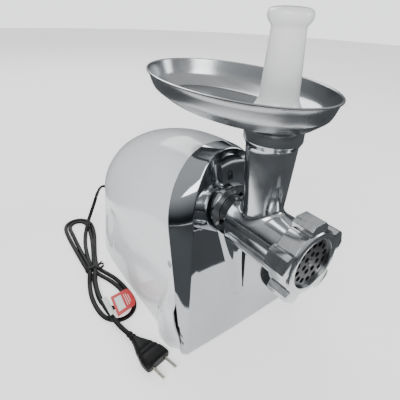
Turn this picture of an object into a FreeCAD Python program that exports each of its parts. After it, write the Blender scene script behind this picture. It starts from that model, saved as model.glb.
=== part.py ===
import FreeCAD, Part
import math
import os
import re
import Sketcher

# Electric meat grinder. X is to the right seen from the front, Y to the back, Z up, millimetres.
# Every piece is drawn in the auger frame: origin on the auger axis at the front face of the ring nut.
# Its Placement then lifts it to augerHeight and moves it to frontStation, so that Z = 0 is the table.

doc = FreeCAD.newDocument("MeatGrinder")
V = FreeCAD.Vector

sizes = {
    # whole machine
    "augerHeight": 165.0,
    "frontStation": -186.5,
    "footHeight": 3.0,
    # ring nut and plate
    "ringLength": 26.0,
    "ringRadius": 37.0,
    "ringOpening": 28.0,
    "lugRadius": 46.0,
    "lugCount": 5.0,
    "lipDepth": 3.0,
    "plateFront": 3.1,
    "plateThickness": 4.9,
    "plateRadius": 31.0,
    "plateHole": 3.0,
    "pinRadius": 4.0,
    "runningGap": 0.06,
    # head casting
    "barrelFront": 4.0,
    "threadRadius": 34.0,
    "threadEnd": 23.0,
    "barrelRadius": 30.0,
    "barrelBore": 26.5,
    "barrelEnd": 103.0,
    "neckRadius": 19.5,
    "neckEnd": 131.0,
    "neckBore": 10.5,
    "wallFront": 99.0,
    "tubeStation": 73.4,
    "tubeFootRadius": 22.1,
    "tubeHeadRadius": 26.1,
    "tubeBore": 19.8,
    "tubeCollarRadius": 29.3,
    "tubeTop": 122.0,
    "spigotSeat": 24.1,
    # auger, knife and drive
    "augerRadius": 25.6,
    "augerHub": 9.0,
    "augerPitch": 26.0,
    "augerFront": 14.0,
    "augerRear": 98.0,
    "shaftRadius": 7.5,
    "hexRadius": 6.6,
    "shaftEnd": 152.0,
    # tray and pusher
    "trayFloor": 122.4,
    "trayRim": 153.5,
    "trayCentre": 64.6,
    "trayHalfWidth": 75.8,
    "trayHalfLength": 124.0,
    "traySheet": 1.2,
    "pusherRadius": 19.2,
    "knobRadius": 19.8,
    # inlet collar
    "collarFront": 119.4,
    "collarRadius": 32.4,
    "collarBore": 20.0,
    # front panel and housing
    "faceStation": 120.8,
    "faceSlope": 0.2213,
    "seamStation": 141.8,
    "seamSlope": 0.3117,
    "baseLevel": -162.0,
    "faceTopRadius": 42.0,
    "faceSideRadius": 136.0,
    "faceTop": 74.0,
    "faceShoulder": 60.5,
    "faceFoot": 87.0,
    "seamTopRadius": 69.0,
    "seamSideRadius": 100.0,
    "seamTop": 72.0,
    "seamShoulder": 80.0,
    "seamFoot": 91.4,
    "shellWall": 3.0,
    "panelWall": 2.5,
    "chinTopStation": 137.4,
    "chinTopLevel": -20.0,
    "chinTopRadius": 34.0,
    "chinLowStation": 102.4,
    "chinLowLevel": -108.0,
    "chinLowRadius": 12.0,
    "recessRadius": 4.4,
    "recessDepth": 3.2,
    "pilotHole": 1.9,
    "screwShank": 1.85,
    # drive train
    "layshaftDrop": 52.0,
    "motorDrop": 92.0,
    "slowModule": 2.0,
    "fastModule": 1.0,
    "outputTeeth": 42.0,
    "clusterSmallTeeth": 10.0,
    "clusterLargeTeeth": 70.0,
    "pinionTeeth": 10.0,
    "caseFront": 134.0,
    "coverStation": 174.0,
    "layPinRadius": 4.0,
    "motorShaft": 4.0,
    "boltSpread": 49.0,
    "boltHole": 2.45,
    "fanBlades": 11.0,
    "statorFront": 214.0,
    "statorLength": 46.0,
    "armatureRadius": 23.5,
    # cord
    "cordWidth": 6.6,
    "exitX": -42.0,
    "exitHeight": 75.0,
    "plugThickness": 13.7,
    "pinSpacing": 19.0,
}

sheet = doc.addObject("Spreadsheet::Sheet", "Sizes")
for row, (word, value) in enumerate(sizes.items(), 1):
    sheet.set(f"A{row}", word)
    sheet.set(f"B{row}", str(value))
    sheet.setAlias(f"B{row}", word)
doc.recompute()

wordPattern = re.compile(r"\b(" + "|".join(sizes) + r")\b")
nodes = []


def bound(expression):
    """Names the sheet in front of each of its words."""
    return wordPattern.sub(r"Sizes.\1", expression)


def bind(thing, prop, value):
    """Sets a property to a number, or ties it to the sheet when the value is text."""
    if isinstance(value, str):
        thing.setExpression(prop, bound(value))
    else:
        thing.setExpression(prop, str(float(value)))


def number(value):
    return sizes[value] if isinstance(value, str) else float(value)


def place(thing, at=(0, 0, 0), turn=None):
    thing.Placement = FreeCAD.Placement(V(), turn or FreeCAD.Rotation())
    for axis, value in zip("xyz", at):
        bind(thing, f"Placement.Base.{axis}", value)
    return thing


def keep(thing, label, base=None):
    """Gives a finished piece its node name and moves it from the auger frame to the machine frame."""
    thing.Label = label
    place(thing, base or (0, "frontStation", "augerHeight"), thing.Placement.Rotation)
    nodes.append(thing)
    return thing


alongX = FreeCAD.Rotation(V(0, 1, 0), 90)
alongY = FreeCAD.Rotation(V(1, 0, 0), -90)
alongZ = FreeCAD.Rotation()
turns = {"X": alongX, "Y": alongY, "Z": alongZ}


def cylinder(radius, length, at, axis="Y"):
    rod = doc.addObject("Part::Cylinder", "Cylinder")
    bind(rod, "Radius", radius)
    bind(rod, "Height", length)
    return place(rod, at, turns[axis])


def cone(radius1, radius2, length, at, axis="Y"):
    taper = doc.addObject("Part::Cone", "Cone")
    bind(taper, "Radius1", radius1)
    bind(taper, "Radius2", radius2)
    bind(taper, "Height", length)
    return place(taper, at, turns[axis])


def box(length, width, height, at, turn=None):
    block = doc.addObject("Part::Box", "Box")
    bind(block, "Length", length)
    bind(block, "Width", width)
    bind(block, "Height", height)
    return place(block, at, turn)


def hexagon(radius, length, at):
    bar = doc.addObject("Part::Prism", "Hexagon")
    bar.Polygon = 6
    bind(bar, "Circumradius", radius)
    bind(bar, "Height", length)
    return place(bar, at, alongY)


def fuse(parts, name="Fuse"):
    joined = doc.addObject("Part::MultiFuse", name)
    joined.Shapes = parts
    return joined


def cut(base, tools, name="Cut"):
    result = doc.addObject("Part::Cut", name)
    result.Base = base
    result.Tool = tools[0] if len(tools) == 1 else fuse(tools)
    return result


def ringPiece(outer, inner, length, at):
    """A plain bush or bearing ring about the Y direction."""
    x, y, z = at
    return cut(cylinder(outer, length, at), [cylinder(inner, length + 2, (x, f"{y} - 1", z))], "Ring")


def rounded(base, radius, pick, name):
    """Rounds the edges of a piece that pick chooses."""
    doc.recompute()
    edges = [i for i, edge in enumerate(base.Shape.Edges, 1) if pick(edge)]
    fillet = doc.addObject("Part::Fillet", name)
    fillet.Base = base
    fillet.Edges = [(i, radius, radius) for i in edges]
    return fillet


def originFeature(body, role):
    return next(f for f in body.Origin.OriginFeatures if f.Role == role)


def newBody(name):
    return doc.addObject("PartDesign::Body", name)


def newSketch(body, plane, name, offset=None):
    sketch = body.newObject("Sketcher::SketchObject", name)
    sketch.AttachmentSupport = [(originFeature(body, plane), "")]
    sketch.MapMode = "FlatFace"
    if offset is not None:
        bind(sketch, "AttachmentOffset.Base.z", offset)
    return sketch


def fixPoint(sketch, geometry, end, point):
    """Dimensions one end of a line from the sketch's origin."""
    for kind, axis, value in (("DistanceX", -2, point[0]), ("DistanceY", -1, point[1])):
        if number(value) == 0:
            sketch.addConstraint(Sketcher.Constraint("PointOnObject", geometry, end, axis))
            continue
        index = sketch.addConstraint(
            Sketcher.Constraint(kind, -1, 1, geometry, end, number(value))
        )
        if isinstance(value, str):
            sketch.setExpression(f"Constraints[{index}]", bound(value))


def outline(sketch, points):
    """Closed outline of straight lines. A coordinate is a number or a word of the sheet."""
    corners = [V(number(a), number(b), 0) for a, b in points]
    first = sketch.GeometryCount
    count = len(corners)
    for i in range(count):
        sketch.addGeometry(Part.LineSegment(corners[i], corners[(i + 1) % count]))
    for i in range(count):
        following = first + (i + 1) % count
        sketch.addConstraint(Sketcher.Constraint("Coincident", first + i, 2, following, 1))
    for i in range(count):
        fixPoint(sketch, first + i, 1, points[i])


def circle(sketch, centre, radius):
    x, y = number(centre[0]), number(centre[1])
    index = sketch.addGeometry(Part.Circle(V(x, y, 0), V(0, 0, 1), number(radius)))
    size = sketch.addConstraint(Sketcher.Constraint("Radius", index, number(radius)))
    if isinstance(radius, str):
        sketch.setExpression(f"Constraints[{size}]", bound(radius))
    fixPoint(sketch, index, 3, centre)


def revolve(body, plane, points, name, remove=False):
    """Turns an outline about the sketch's vertical axis. Points are radius and station."""
    sketch = newSketch(body, plane, name + "Sketch")
    outline(sketch, points)
    kind = "PartDesign::Groove" if remove else "PartDesign::Revolution"
    feature = body.newObject(kind, name)
    feature.Profile = sketch
    feature.ReferenceAxis = (sketch, ["V_Axis"])
    feature.Angle = 360
    return feature


def pad(body, sketch, length, name):
    """Raises a sketch of the XZ plane towards the back."""
    feature = body.newObject("PartDesign::Pad", name)
    feature.Profile = sketch
    bind(feature, "Length", length)
    feature.Reversed = True
    return feature


def pocket(body, sketch, name):
    """Cuts a sketch through the whole body."""
    feature = body.newObject("PartDesign::Pocket", name)
    feature.Profile = sketch
    feature.Type = 1
    return feature


def polar(body, features, count, name):
    """Repeats features about the auger axis."""
    pattern = body.newObject("PartDesign::PolarPattern", name)
    pattern.Originals = features
    pattern.Axis = (originFeature(body, "Y_Axis"), [""])
    pattern.Angle = 360
    bind(pattern, "Occurrences", count)
    body.Tip = pattern
    return pattern


tubeBase = (0, "frontStation + tubeStation", "augerHeight")


# Ring nut and cutting plate
def makeRingNut():
    body = newBody("RingNut")
    revolve(
        body,
        "XY_Plane",
        [
            ("ringOpening", 0),
            (34.5, 0),
            ("ringRadius", 2.5),
            ("ringRadius", 24.5),
            (35.5, "ringLength"),
            (34.15, "ringLength"),
            (34.15, 4),
            (31.5, "lipDepth"),
            ("ringOpening", "lipDepth"),
        ],
        "RingProfile",
    )
    sketch = newSketch(body, "XZ_Plane", "LugSketch", -1.2)
    outline(sketch, [(-12, 35), (12, 35), (12, 41.5), (7.5, "lugRadius"), (-7.5, "lugRadius"), (-12, 41.5)])
    lug = pad(body, sketch, 23.5, "Lug")
    polar(body, [lug], "lugCount", "Lugs")
    keep(body, "ring_nut")


def makePlate():
    body = newBody("Plate")
    sketch = newSketch(body, "XZ_Plane", "DiscSketch", "-plateFront")
    circle(sketch, (0, 0), "plateRadius")
    pad(body, sketch, "plateThickness", "Disc")
    centre = newSketch(body, "XZ_Plane", "CentreSketch")
    circle(centre, (0, 0), 4.06)
    pocket(body, centre, "CentreHole")
    for name, radius, count in (("Inner", 10.3, 7), ("Outer", 20.6, 14)):
        holes = newSketch(body, "XZ_Plane", name + "Sketch")
        circle(holes, (0, radius), "plateHole")
        hole = pocket(body, holes, name + "Hole")
        polar(body, [hole], count, name + "Ring")
    keep(body, "cutting_plate")


# Cast head
def makeHead():
    body = newBody("Head")
    revolve(
        body,
        "XY_Plane",
        [
            (0, "barrelFront"),
            ("threadRadius", "barrelFront"),
            ("threadRadius", "threadEnd"),
            ("barrelRadius", 26.5),
            ("barrelRadius", 100.5),
            (28, "barrelEnd"),
            ("neckRadius", "barrelEnd"),
            ("neckRadius", "neckEnd"),
            (0, "neckEnd"),
        ],
        "BarrelOutside",
    )
    rib = newSketch(body, "XZ_Plane", "RibSketch", -27)
    outline(rib, [(-32.4, -14), (-20, -14), (-20, -9), (-32.4, -10.5)])
    outline(rib, [(32.4, -14), (20, -14), (20, -9), (32.4, -10.5)])
    pad(body, rib, 70, "Ribs")
    lugs = newSketch(body, "XZ_Plane", "BayonetSketch", -125)
    outline(lugs, [(-22.6, -5), (22.6, -5), (22.6, 5), (-22.6, 5)])
    pad(body, lugs, 5, "BayonetLugs")
    tube = newSketch(body, "YZ_Plane", "TubeSketch")
    bind(tube, "AttachmentOffset.Base.x", "tubeStation")
    outline(
        tube,
        [
            (0, 0),
            ("tubeFootRadius", 0),
            ("tubeHeadRadius", 101.4),
            ("tubeCollarRadius", 107),
            ("tubeCollarRadius", "tubeTop"),
            (0, "tubeTop"),
        ],
    )
    feature = body.newObject("PartDesign::Revolution", "Tube")
    feature.Profile = tube
    feature.ReferenceAxis = (tube, ["V_Axis"])
    feature.Angle = 360
    revolve(
        body,
        "XY_Plane",
        [
            (0, 0),
            (31.1, 0),
            (31.1, 8),
            ("barrelBore", 8.01),
            ("barrelBore", "wallFront"),
            ("neckBore", "wallFront"),
            ("neckBore", 140),
            (0, 140),
        ],
        "BarrelBore",
        remove=True,
    )
    bore = newSketch(body, "YZ_Plane", "TubeBoreSketch")
    bind(bore, "AttachmentOffset.Base.x", "tubeStation")
    outline(
        bore,
        [
            (0, 0),
            ("tubeBore", 0),
            ("tubeBore", 112),
            ("spigotSeat", 112),
            ("spigotSeat", 130),
            (0, 130),
        ],
    )
    groove = body.newObject("PartDesign::Groove", "TubeBore")
    groove.Profile = bore
    groove.ReferenceAxis = (bore, ["V_Axis"])
    groove.Angle = 360
    keep(body, "grinder_head")


# Auger, knife and drive shaft
def makeAuger():
    core = fuse(
        [
            cylinder("augerHub", "augerRear - augerFront", (0, "augerFront", 0)),
            box(9.6, 6.2, 9.6, (-4.8, 8, -4.8)),
            cylinder("pinRadius", 6, (0, 2.6, 0)),
        ],
        "AugerCore",
    )
    helix = doc.addObject("Part::Helix", "FlightPath")
    bind(helix, "Pitch", "augerPitch")
    bind(helix, "Height", "augerRear - augerFront - 8")
    bind(helix, "Radius", "augerRadius")
    place(helix, (0, "augerFront + 2", 0), alongY)
    profile = doc.addObject("Sketcher::SketchObject", "FlightSection")
    outline(profile, [("augerRadius", 14.6), ("augerRadius", 17.6), (7, 19.2), (7, 13.0)])
    flight = doc.addObject("Part::Sweep", "Flight")
    flight.Sections = [profile]
    doc.recompute()
    flight.Spine = (helix, [f"Edge{i}" for i in range(1, len(helix.Shape.Edges) + 1)])
    flight.Solid = True
    flight.Frenet = True
    keep(fuse([core, flight], "Auger"), "auger")

    shaft = fuse(
        [
            cylinder("shaftRadius", 33, (0, "augerRear", 0)),
            cylinder("neckBore - 0.4", 20, (0, 104, 0)),
            hexagon("hexRadius", 22, (0, "shaftEnd - 22", 0)),
        ],
        "DriveShaft",
    )
    keep(shaft, "auger_drive_shaft")
    keep(ringPiece(12, 7.6, 0.8, (0, "augerRear + 0.1", 0)), "auger_washer")


def makeKnife():
    blades = [box(10, 4.2, 50, (-5, 8.3, -25)), box(50, 4.2, 10, (-25, 8.3, -5))]
    hub = cylinder(9.5, 5, (0, 8.3, 0))
    hole = box(9.8, 8, 9.8, (-4.9, 7, -4.9))
    rim = doc.addObject("Part::Common", "KnifeBlades")
    rim.Base = fuse(blades)
    rim.Tool = cylinder(24.8, 8, (0, 7, 0))
    keep(cut(fuse([rim, hub]), [hole], "Knife"), "cross_knife")


# Tray and pusher
def ellipseSketch(level, halfWidth, halfLength, name):
    sketch = doc.addObject("Sketcher::SketchObject", name)
    major = V(0, number(halfLength), 0)
    minor = V(number(halfWidth), 0, 0)
    sketch.addGeometry(Part.Ellipse(major, minor, V(0, 0, 0)))
    return place(sketch, (0, "trayCentre", level))


def loft(sections, name):
    skin = doc.addObject("Part::Loft", name)
    skin.Sections = sections
    skin.Solid = True
    skin.Ruled = True
    return skin


def makeTray():
    wall = sizes["traySheet"]
    wide, long = sizes["trayHalfWidth"], sizes["trayHalfLength"]
    outside = loft(
        [
            ellipseSketch("trayFloor", wide - 24, long - 24, "TrayFloor"),
            ellipseSketch("trayFloor + 12", wide - 8, long - 8, "TrayWaist"),
            ellipseSketch("trayRim", wide - 1.5, long - 1.5, "TrayEdge"),
        ],
        "TrayOutside",
    )
    inside = loft(
        [
            ellipseSketch("trayFloor + traySheet", wide - 24.4, long - 24.4, "BowlFloor"),
            ellipseSketch("trayFloor + 12.4", wide - 8 - wall, long - 8 - wall, "BowlWaist"),
            ellipseSketch("trayRim + 0.01", wide - 1.5 - wall, long - 1.5 - wall, "BowlEdge"),
        ],
        "TrayInside",
    )
    bead = loft(
        [
            ellipseSketch("trayRim - 2.4", "trayHalfWidth", "trayHalfLength", "BeadLow"),
            ellipseSketch("trayRim", "trayHalfWidth", "trayHalfLength", "BeadHigh"),
        ],
        "TrayBead",
    )
    spigot = cylinder("spigotSeat - 0.3", 9, (0, 0, "trayFloor - 9"), "Z")
    hole = cylinder("spigotSeat - 1.3", 40, (0, 0, "trayFloor - 20"), "Z")
    tray = cut(fuse([outside, bead, spigot]), [inside, hole], "Tray")
    keep(tray, "tray", tubeBase)


def makePusher():
    body = newBody("Pusher")
    revolve(
        body,
        "XZ_Plane",
        [
            (0, 30),
            (17.5, 30),
            ("pusherRadius", 33),
            ("pusherRadius", 124),
            (23.6, 124),
            (24.6, 125),
            (24.6, 127),
            (23.4, 138),
            (20.2, 142.5),
            (18.4, 147.5),
            (15.2, 207.8),
            (17.6, 210.5),
            ("knobRadius", 216),
            (17.8, 220.5),
            (12, 222.6),
            (0, 222.9),
        ],
        "PusherProfile",
    )
    keep(body, "pusher", tubeBase)


# Housing and front panel
def archWire(foot, base, shoulder, top, topRadius, sideRadius):
    """Closed arch in the XZ plane: base, two side lines, two side arcs and a top arc, all tangent."""
    reach = sideRadius - topRadius
    joint = math.asin((sideRadius - shoulder) / reach)
    topCentre = top - topRadius
    centre = V(-reach * math.sin(joint), topCentre - reach * math.cos(joint), 0)
    # tangent from the foot to the side arc
    dx, dz = foot - centre.x, base - centre.y
    gap = math.hypot(dx, dz)
    heading = math.atan2(dz, dx) + math.acos(sideRadius / gap)
    touch = V(centre.x + sideRadius * math.cos(heading), 0, centre.y + sideRadius * math.sin(heading))
    meet = V(topRadius * math.sin(joint), 0, topCentre + topRadius * math.cos(joint))
    middle = (heading + math.pi / 2 - joint) / 2
    bulge = V(centre.x + sideRadius * math.cos(middle), 0, centre.y + sideRadius * math.sin(middle))

    def mirrored(point):
        return V(-point.x, 0, point.z)

    edges = [
        Part.LineSegment(V(-foot, 0, base), V(foot, 0, base)),
        Part.LineSegment(V(foot, 0, base), touch),
        Part.Arc(touch, bulge, meet),
        Part.Arc(meet, V(0, 0, top), mirrored(meet)),
        Part.Arc(mirrored(meet), mirrored(bulge), mirrored(touch)),
        Part.LineSegment(mirrored(touch), V(-foot, 0, base)),
    ]
    return Part.Wire([edge.toShape() for edge in edges])


def sectionAt(station, scale, top, inset, name):
    """One cross-section of the housing, standing at its station."""
    wire = archWire(
        sizes["seamFoot"] * scale - inset,
        sizes["baseLevel"],
        sizes["seamShoulder"] * scale - inset,
        top - inset,
        sizes["seamTopRadius"] * scale - inset,
        sizes["seamSideRadius"] * scale - inset,
    )
    section = doc.addObject("Part::Feature", name)
    section.Shape = wire
    return place(section, (0, station, 0))


# station, width against the seam's width, height of the roof over the auger axis
roofLine = [
    (86, 1.0, 72.0),
    (170, 1.0, 72.0),
    (205, 1.0, 70.0),
    (235, 0.997, 65.5),
    (270, 0.985, 56.0),
    (300, 0.962, 45.0),
    (325, 0.925, 32.5),
    (345, 0.87, 20.0),
    (359, 0.80, 8.0),
    (368, 0.71, -4.0),
    (373, 0.61, -16.0),
]


def dome(inset, name):
    """The housing's outer form, or its hollow when inset by the wall."""
    sections = []
    last = len(roofLine) - 1
    for i, (station, scale, top) in enumerate(roofLine):
        shift = -inset if i == last else 0
        sections.append(sectionAt(station + shift, scale, top, inset, f"{name}{i}"))
    return loft(sections, name)


def slopedWire(foot, shoulder, top, topRadius, sideRadius, base, station, slope, name):
    """An arch laid in a plane that leans back as it rises."""
    wire = archWire(foot, base, shoulder, top, topRadius, sideRadius)
    lean = FreeCAD.Matrix()
    lean.A23 = slope
    lean.A24 = station
    section = doc.addObject("Part::Feature", name)
    section.Shape = wire.transformGeometry(lean)
    return section


def panelForm(inset, name):
    s = sizes
    face = slopedWire(
        s["faceFoot"] - inset,
        s["faceShoulder"] - inset,
        s["faceTop"] - inset,
        s["faceTopRadius"] - inset,
        s["faceSideRadius"] - inset,
        s["baseLevel"] + inset,
        s["faceStation"] + inset,
        s["faceSlope"],
        name + "Face",
    )
    seam = slopedWire(
        s["seamFoot"] - inset,
        s["seamShoulder"] - inset,
        s["seamTop"] - inset,
        s["seamTopRadius"] - inset,
        s["seamSideRadius"] - inset,
        s["baseLevel"] + inset,
        s["seamStation"] + (0.01 if inset else 0),
        s["seamSlope"],
        name + "Seam",
    )
    return loft([face, seam], name)


def seamSpace(edge, gap, name):
    """All the space between the seam plane, moved back by a gap, and an upright plane at the edge station."""
    low, high = -175.0, 95.0
    station, slope = sizes["seamStation"] + gap, sizes["seamSlope"]
    corners = [
        V(-120, edge, low),
        V(-120, station + slope * low, low),
        V(-120, station + slope * high, high),
        V(-120, edge, high),
    ]
    wedge = doc.addObject("Part::Feature", name)
    wedge.Shape = Part.Face(Part.makePolygon(corners + corners[:1])).extrude(V(240, 0, 0))
    return wedge


def ellipsoid(radii, at, name):
    """Half-axes along X, Y and Z."""
    bulge = doc.addObject("Part::Ellipsoid", name)
    bulge.Radius1 = radii[2]
    bulge.Radius2 = radii[0]
    bulge.Radius3 = radii[1]
    return place(bulge, at)


sideScrews = [(83.1, 131.0, -54.0), (89.4, 146.0, -136.0)]
baseScrews = [(-70, 120), (70, 120), (-76, 215), (76, 215), (-62, 330), (62, 330)]
feet = [(-74, 104), (74, 104), (-62, 345), (62, 345)]
switchAt = (83.6, 232.0, -62.0)
wallLean = 4.4
switchTurn = FreeCAD.Rotation(V(0, 1, 0), -wallLean)


def makeHousing():
    """White shell: open below and towards the front panel."""
    outside = dome(0, "DomeOutside")
    bulges = [ellipsoid((13, 24, 60), (side * 87.5, 121, -154), "CornerBulge") for side in (-1, 1)]
    inside = dome(sizes["shellWall"], "DomeInside")
    under = box(240, 400, 80, (-120, 40, "baseLevel - 80"))
    shell = cut(fuse([outside] + bulges), [inside, under], "Shell")
    ribs = []
    for side in (-1, 1):
        for x, y, z in sideScrews:
            ribs.append(cylinder(6.5, 14, (side * x - 7 - side * 5.0, y, z), "X"))
    for x, y in baseScrews:
        ribs.append(cylinder(6, 24, (x, y, "baseLevel + 3.4"), "Z"))
        ribs.append(box(40, 3, 22, (x if x > 0 else x - 40, y - 1.5, "baseLevel + 3.4")))
    # bosses are trimmed to the dome before they join the shell
    trimmed = doc.addObject("Part::Common", "Bosses")
    trimmed.Base = fuse(ribs)
    trimmed.Tool = dome(1.0, "DomeMiddle")
    holes = []
    for side in (-1, 1):
        for x, y, z in sideScrews:
            floor = side * (x - sizes["recessDepth"])
            holes.append(cylinder("recessRadius", 20, (floor if side > 0 else floor - 20, y, z), "X"))
            holes.append(cylinder("pilotHole", 40, (side * x - 20, y, z), "X"))
    for x, y in baseScrews:
        holes.append(cylinder("pilotHole", 18, (x, y, "baseLevel"), "Z"))
    holes.append(cylinder(6.1, 30, ("exitX", 355, "exitHeight - augerHeight"), "Y"))
    corner = V(*switchAt) + switchTurn.multVec(V(-20, -15.3, -10.3))
    holes.append(box(30, 30.6, 20.6, tuple(corner), switchTurn))
    holes.append(seamSpace(40, 0.5, "SeamFront"))
    keep(cut(fuse([shell, trimmed]), holes, "Housing"), "housing")

    screws = []
    for side in (-1, 1):
        for x, y, z in sideScrews:
            head = side * (x - sizes["recessDepth"])
            screws.append(cylinder(3.8, 2.4, (head if side > 0 else head - 2.4, y, z), "X"))
            screws.append(cylinder("screwShank", 10, (head - 10 if side > 0 else head, y, z), "X"))
    keep(fuse(screws, "SideScrews"), "side_screws")


def makePanel():
    """Chromed front: a leaning face, its side band, the rim round the inlet and the raised chin."""
    hollow = panelForm(sizes["panelWall"], "PanelInside")
    form = panelForm(0, "PanelOutside")
    topAt = V(0, sizes["chinTopStation"], sizes["chinTopLevel"])
    lowAt = V(0, sizes["chinLowStation"], sizes["chinLowLevel"])
    run = lowAt - topAt
    tilt = FreeCAD.Rotation(V(1, 0, 0), 180 - math.degrees(math.atan(run.y / run.z)))

    def chinForm(inset, name):
        """The raised tongue below the inlet: a taper that ends in a ball."""
        taper = doc.addObject("Part::Cone", name)
        taper.Radius1 = sizes["chinTopRadius"] - inset
        taper.Radius2 = sizes["chinLowRadius"] - inset
        taper.Height = run.Length
        place(taper, topAt, tilt)
        ball = doc.addObject("Part::Sphere", name + "Tip")
        ball.Radius = sizes["chinLowRadius"] - inset
        place(ball, lowAt)
        return [taper, ball]

    rim = cylinder("collarRadius", 24, (0, "collarFront", 0))
    keepZone = doc.addObject("Part::Common", "ChinSolid")
    keepZone.Base = fuse(chinForm(0, "Chin") + [rim])
    keepZone.Tool = box(120, 70, 240, (-60, 70, -170))
    bore = cylinder("collarRadius - 1.4", 80, (0, 80, 0))
    clean = seamSpace(300, 0, "SeamBack")
    hollows = [hollow] + chinForm(sizes["panelWall"], "ChinHollow")
    keep(cut(fuse([form, keepZone]), hollows + [bore, clean], "Panel"), "front_panel")


collarScrewAngles = [85, 205, 325]
collarScrewRadius = 25.4
notchTurn = FreeCAD.Rotation(V(0, 1, 0), 45)


def makeCollar():
    """Inlet that the head's neck turns into, with two notches for the bayonet lugs."""
    ring = cut(
        fuse(
            [
                cylinder(30.5, 4.0, (0, 121.0, 0)),
                cylinder(28, 9.8, (0, 124.0, 0)),
            ]
        ),
        [
            cylinder("collarBore", 20, (0, 118, 0)),
            cylinder(23.4, 6.4, (0, 124.6, 0)),
            box(11, 20, 46.4, tuple(notchTurn.multVec(V(-5.5, 118, -23.2))), notchTurn),
        ],
        "CollarRing",
    )
    holes, screws = [], []
    for angle in collarScrewAngles:
        x = collarScrewRadius * math.cos(math.radians(angle))
        z = collarScrewRadius * math.sin(math.radians(angle))
        holes.append(cylinder(1.6, 20, (x, 118, z)))
        screws.append(cylinder(2.9, 1.6, (x, 119.4, z)))
        screws.append(cylinder(1.55, 12, (x, 120.5, z)))
    keep(cut(ring, holes, "Collar"), "inlet_collar")
    keep(fuse(screws, "CollarScrews"), "collar_screws")


def makeBase():
    slab = box(240, 277.4, 3, (-120, 92, "baseLevel"))
    plate = doc.addObject("Part::Common", "BasePlate")
    plate.Base = slab
    plate.Tool = dome(sizes["shellWall"] + 0.4, "BaseOutline")
    holes = [cylinder(2.2, 20, (x, y, "baseLevel - 5"), "Z") for x, y in baseScrews]
    holes += [cylinder(2.6, 20, (x, y, "baseLevel - 5"), "Z") for x, y in feet]
    for column in range(-4, 5):
        holes.append(box(3.2, 44, 20, (column * 8 - 1.6, 255, "baseLevel - 5")))
    keep(cut(plate, holes, "Base"), "base_plate")

    pads = []
    for x, y in feet:
        pads.append(cone(8, 9, "footHeight", (x, y, "baseLevel - footHeight"), "Z"))
        pads.append(cylinder(2.5, 5.2, (x, y, "baseLevel - 0.2"), "Z"))
        pads.append(cone(3.6, 2.5, 1.6, (x, y, "baseLevel + 3.05"), "Z"))
    keep(fuse(pads, "Feet"), "rubber_feet")

    screws = []
    for x, y in baseScrews:
        screws.append(cylinder(3.6, 2, (x, y, "baseLevel - 2.1"), "Z"))
        screws.append(cylinder("screwShank", 16, (x, y, "baseLevel - 0.4"), "Z"))
    keep(fuse(screws, "BaseScrews"), "base_screws")


def involute(angle):
    return math.tan(angle) - angle


def gearWire(module, teeth, phase=0.0):
    """Closed gear outline in the XZ plane with 25 degree stub teeth and a little backlash."""
    pressure = math.radians(25)
    pitchRadius = module * teeth / 2
    baseRadius = pitchRadius * math.cos(pressure)
    tip = pitchRadius + 0.75 * module
    root = pitchRadius - 1.0 * module
    halfTooth = math.pi / (2 * teeth) - 0.09 * module / pitchRadius
    start = max(root + 0.05 * module, baseRadius)
    radii = [start, (start + pitchRadius) / 2, pitchRadius, tip]

    def halfAngle(radius):
        turn = math.acos(min(1.0, baseRadius / radius))
        return halfTooth + involute(pressure) - involute(turn)

    points = []
    for tooth in range(int(teeth)):
        centre = phase + 2 * math.pi * tooth / teeth
        flank = [(root, halfAngle(start))] + [(r, halfAngle(r)) for r in radii]
        for radius, half in flank:
            points.append((radius, centre - half))
        for radius, half in reversed(flank):
            points.append((radius, centre + half))
    corners = [V(r * math.cos(a), 0, r * math.sin(a)) for r, a in points]
    return Part.makePolygon(corners + corners[:1])


def gear(module, teeth, width, at, phase, name):
    wheel = doc.addObject("Part::Feature", name)
    face = Part.Face(gearWire(sizes[module], sizes[teeth], phase))
    wheel.Shape = face.extrude(V(0, width, 0))
    return place(wheel, at)


def makeGears():
    """Two reductions: motor pinion to cluster gear, cluster pinion to output gear."""
    down = -math.pi / 2
    slot = math.pi / sizes["outputTeeth"]
    output = cut(
        fuse(
            [
                gear("slowModule", "outputTeeth", 13, (0, 144, 0), down + slot, "OutputTeeth"),
                cylinder(12, 10.5, (0, "caseFront - 0.5", 0)),
                cylinder(8, 21, (0, 156, 0)),
            ]
        ),
        [hexagon("hexRadius + 0.15", 22, (0, 131, 0))],
        "Output",
    )
    keep(output, "output_gear")

    lay = "-layshaftDrop"
    cluster = cut(
        fuse(
            [
                gear("slowModule", "clusterSmallTeeth", 15.5, (0, 144, lay), math.pi / 2, "SmallTeeth"),
                gear(
                    "fastModule", "clusterLargeTeeth", 9, (0, 160, lay),
                    down + math.pi / sizes["clusterLargeTeeth"], "LargeTeeth",
                ),
                cylinder(9, 1.5, (0, 158.8, lay)),
            ]
        ),
        [cylinder("layPinRadius + 0.05", 60, (0, 130, lay))],
        "Cluster",
    )
    keep(cluster, "cluster_gear")
    pin = cylinder("layPinRadius", "coverStation - caseFront + 1", (0, 0, 0))
    keep(pin, "layshaft_pin", (0, "frontStation + caseFront + 1", "augerHeight - layshaftDrop"))

    motor = "-motorDrop"
    pinion = cut(
        gear("fastModule", "pinionTeeth", 10, (0, 159.5, motor), math.pi / 2, "PinionTeeth"),
        [cylinder(3.0, 30, (0, 150, motor))],
        "Pinion",
    )
    keep(pinion, "motor_pinion")


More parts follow.
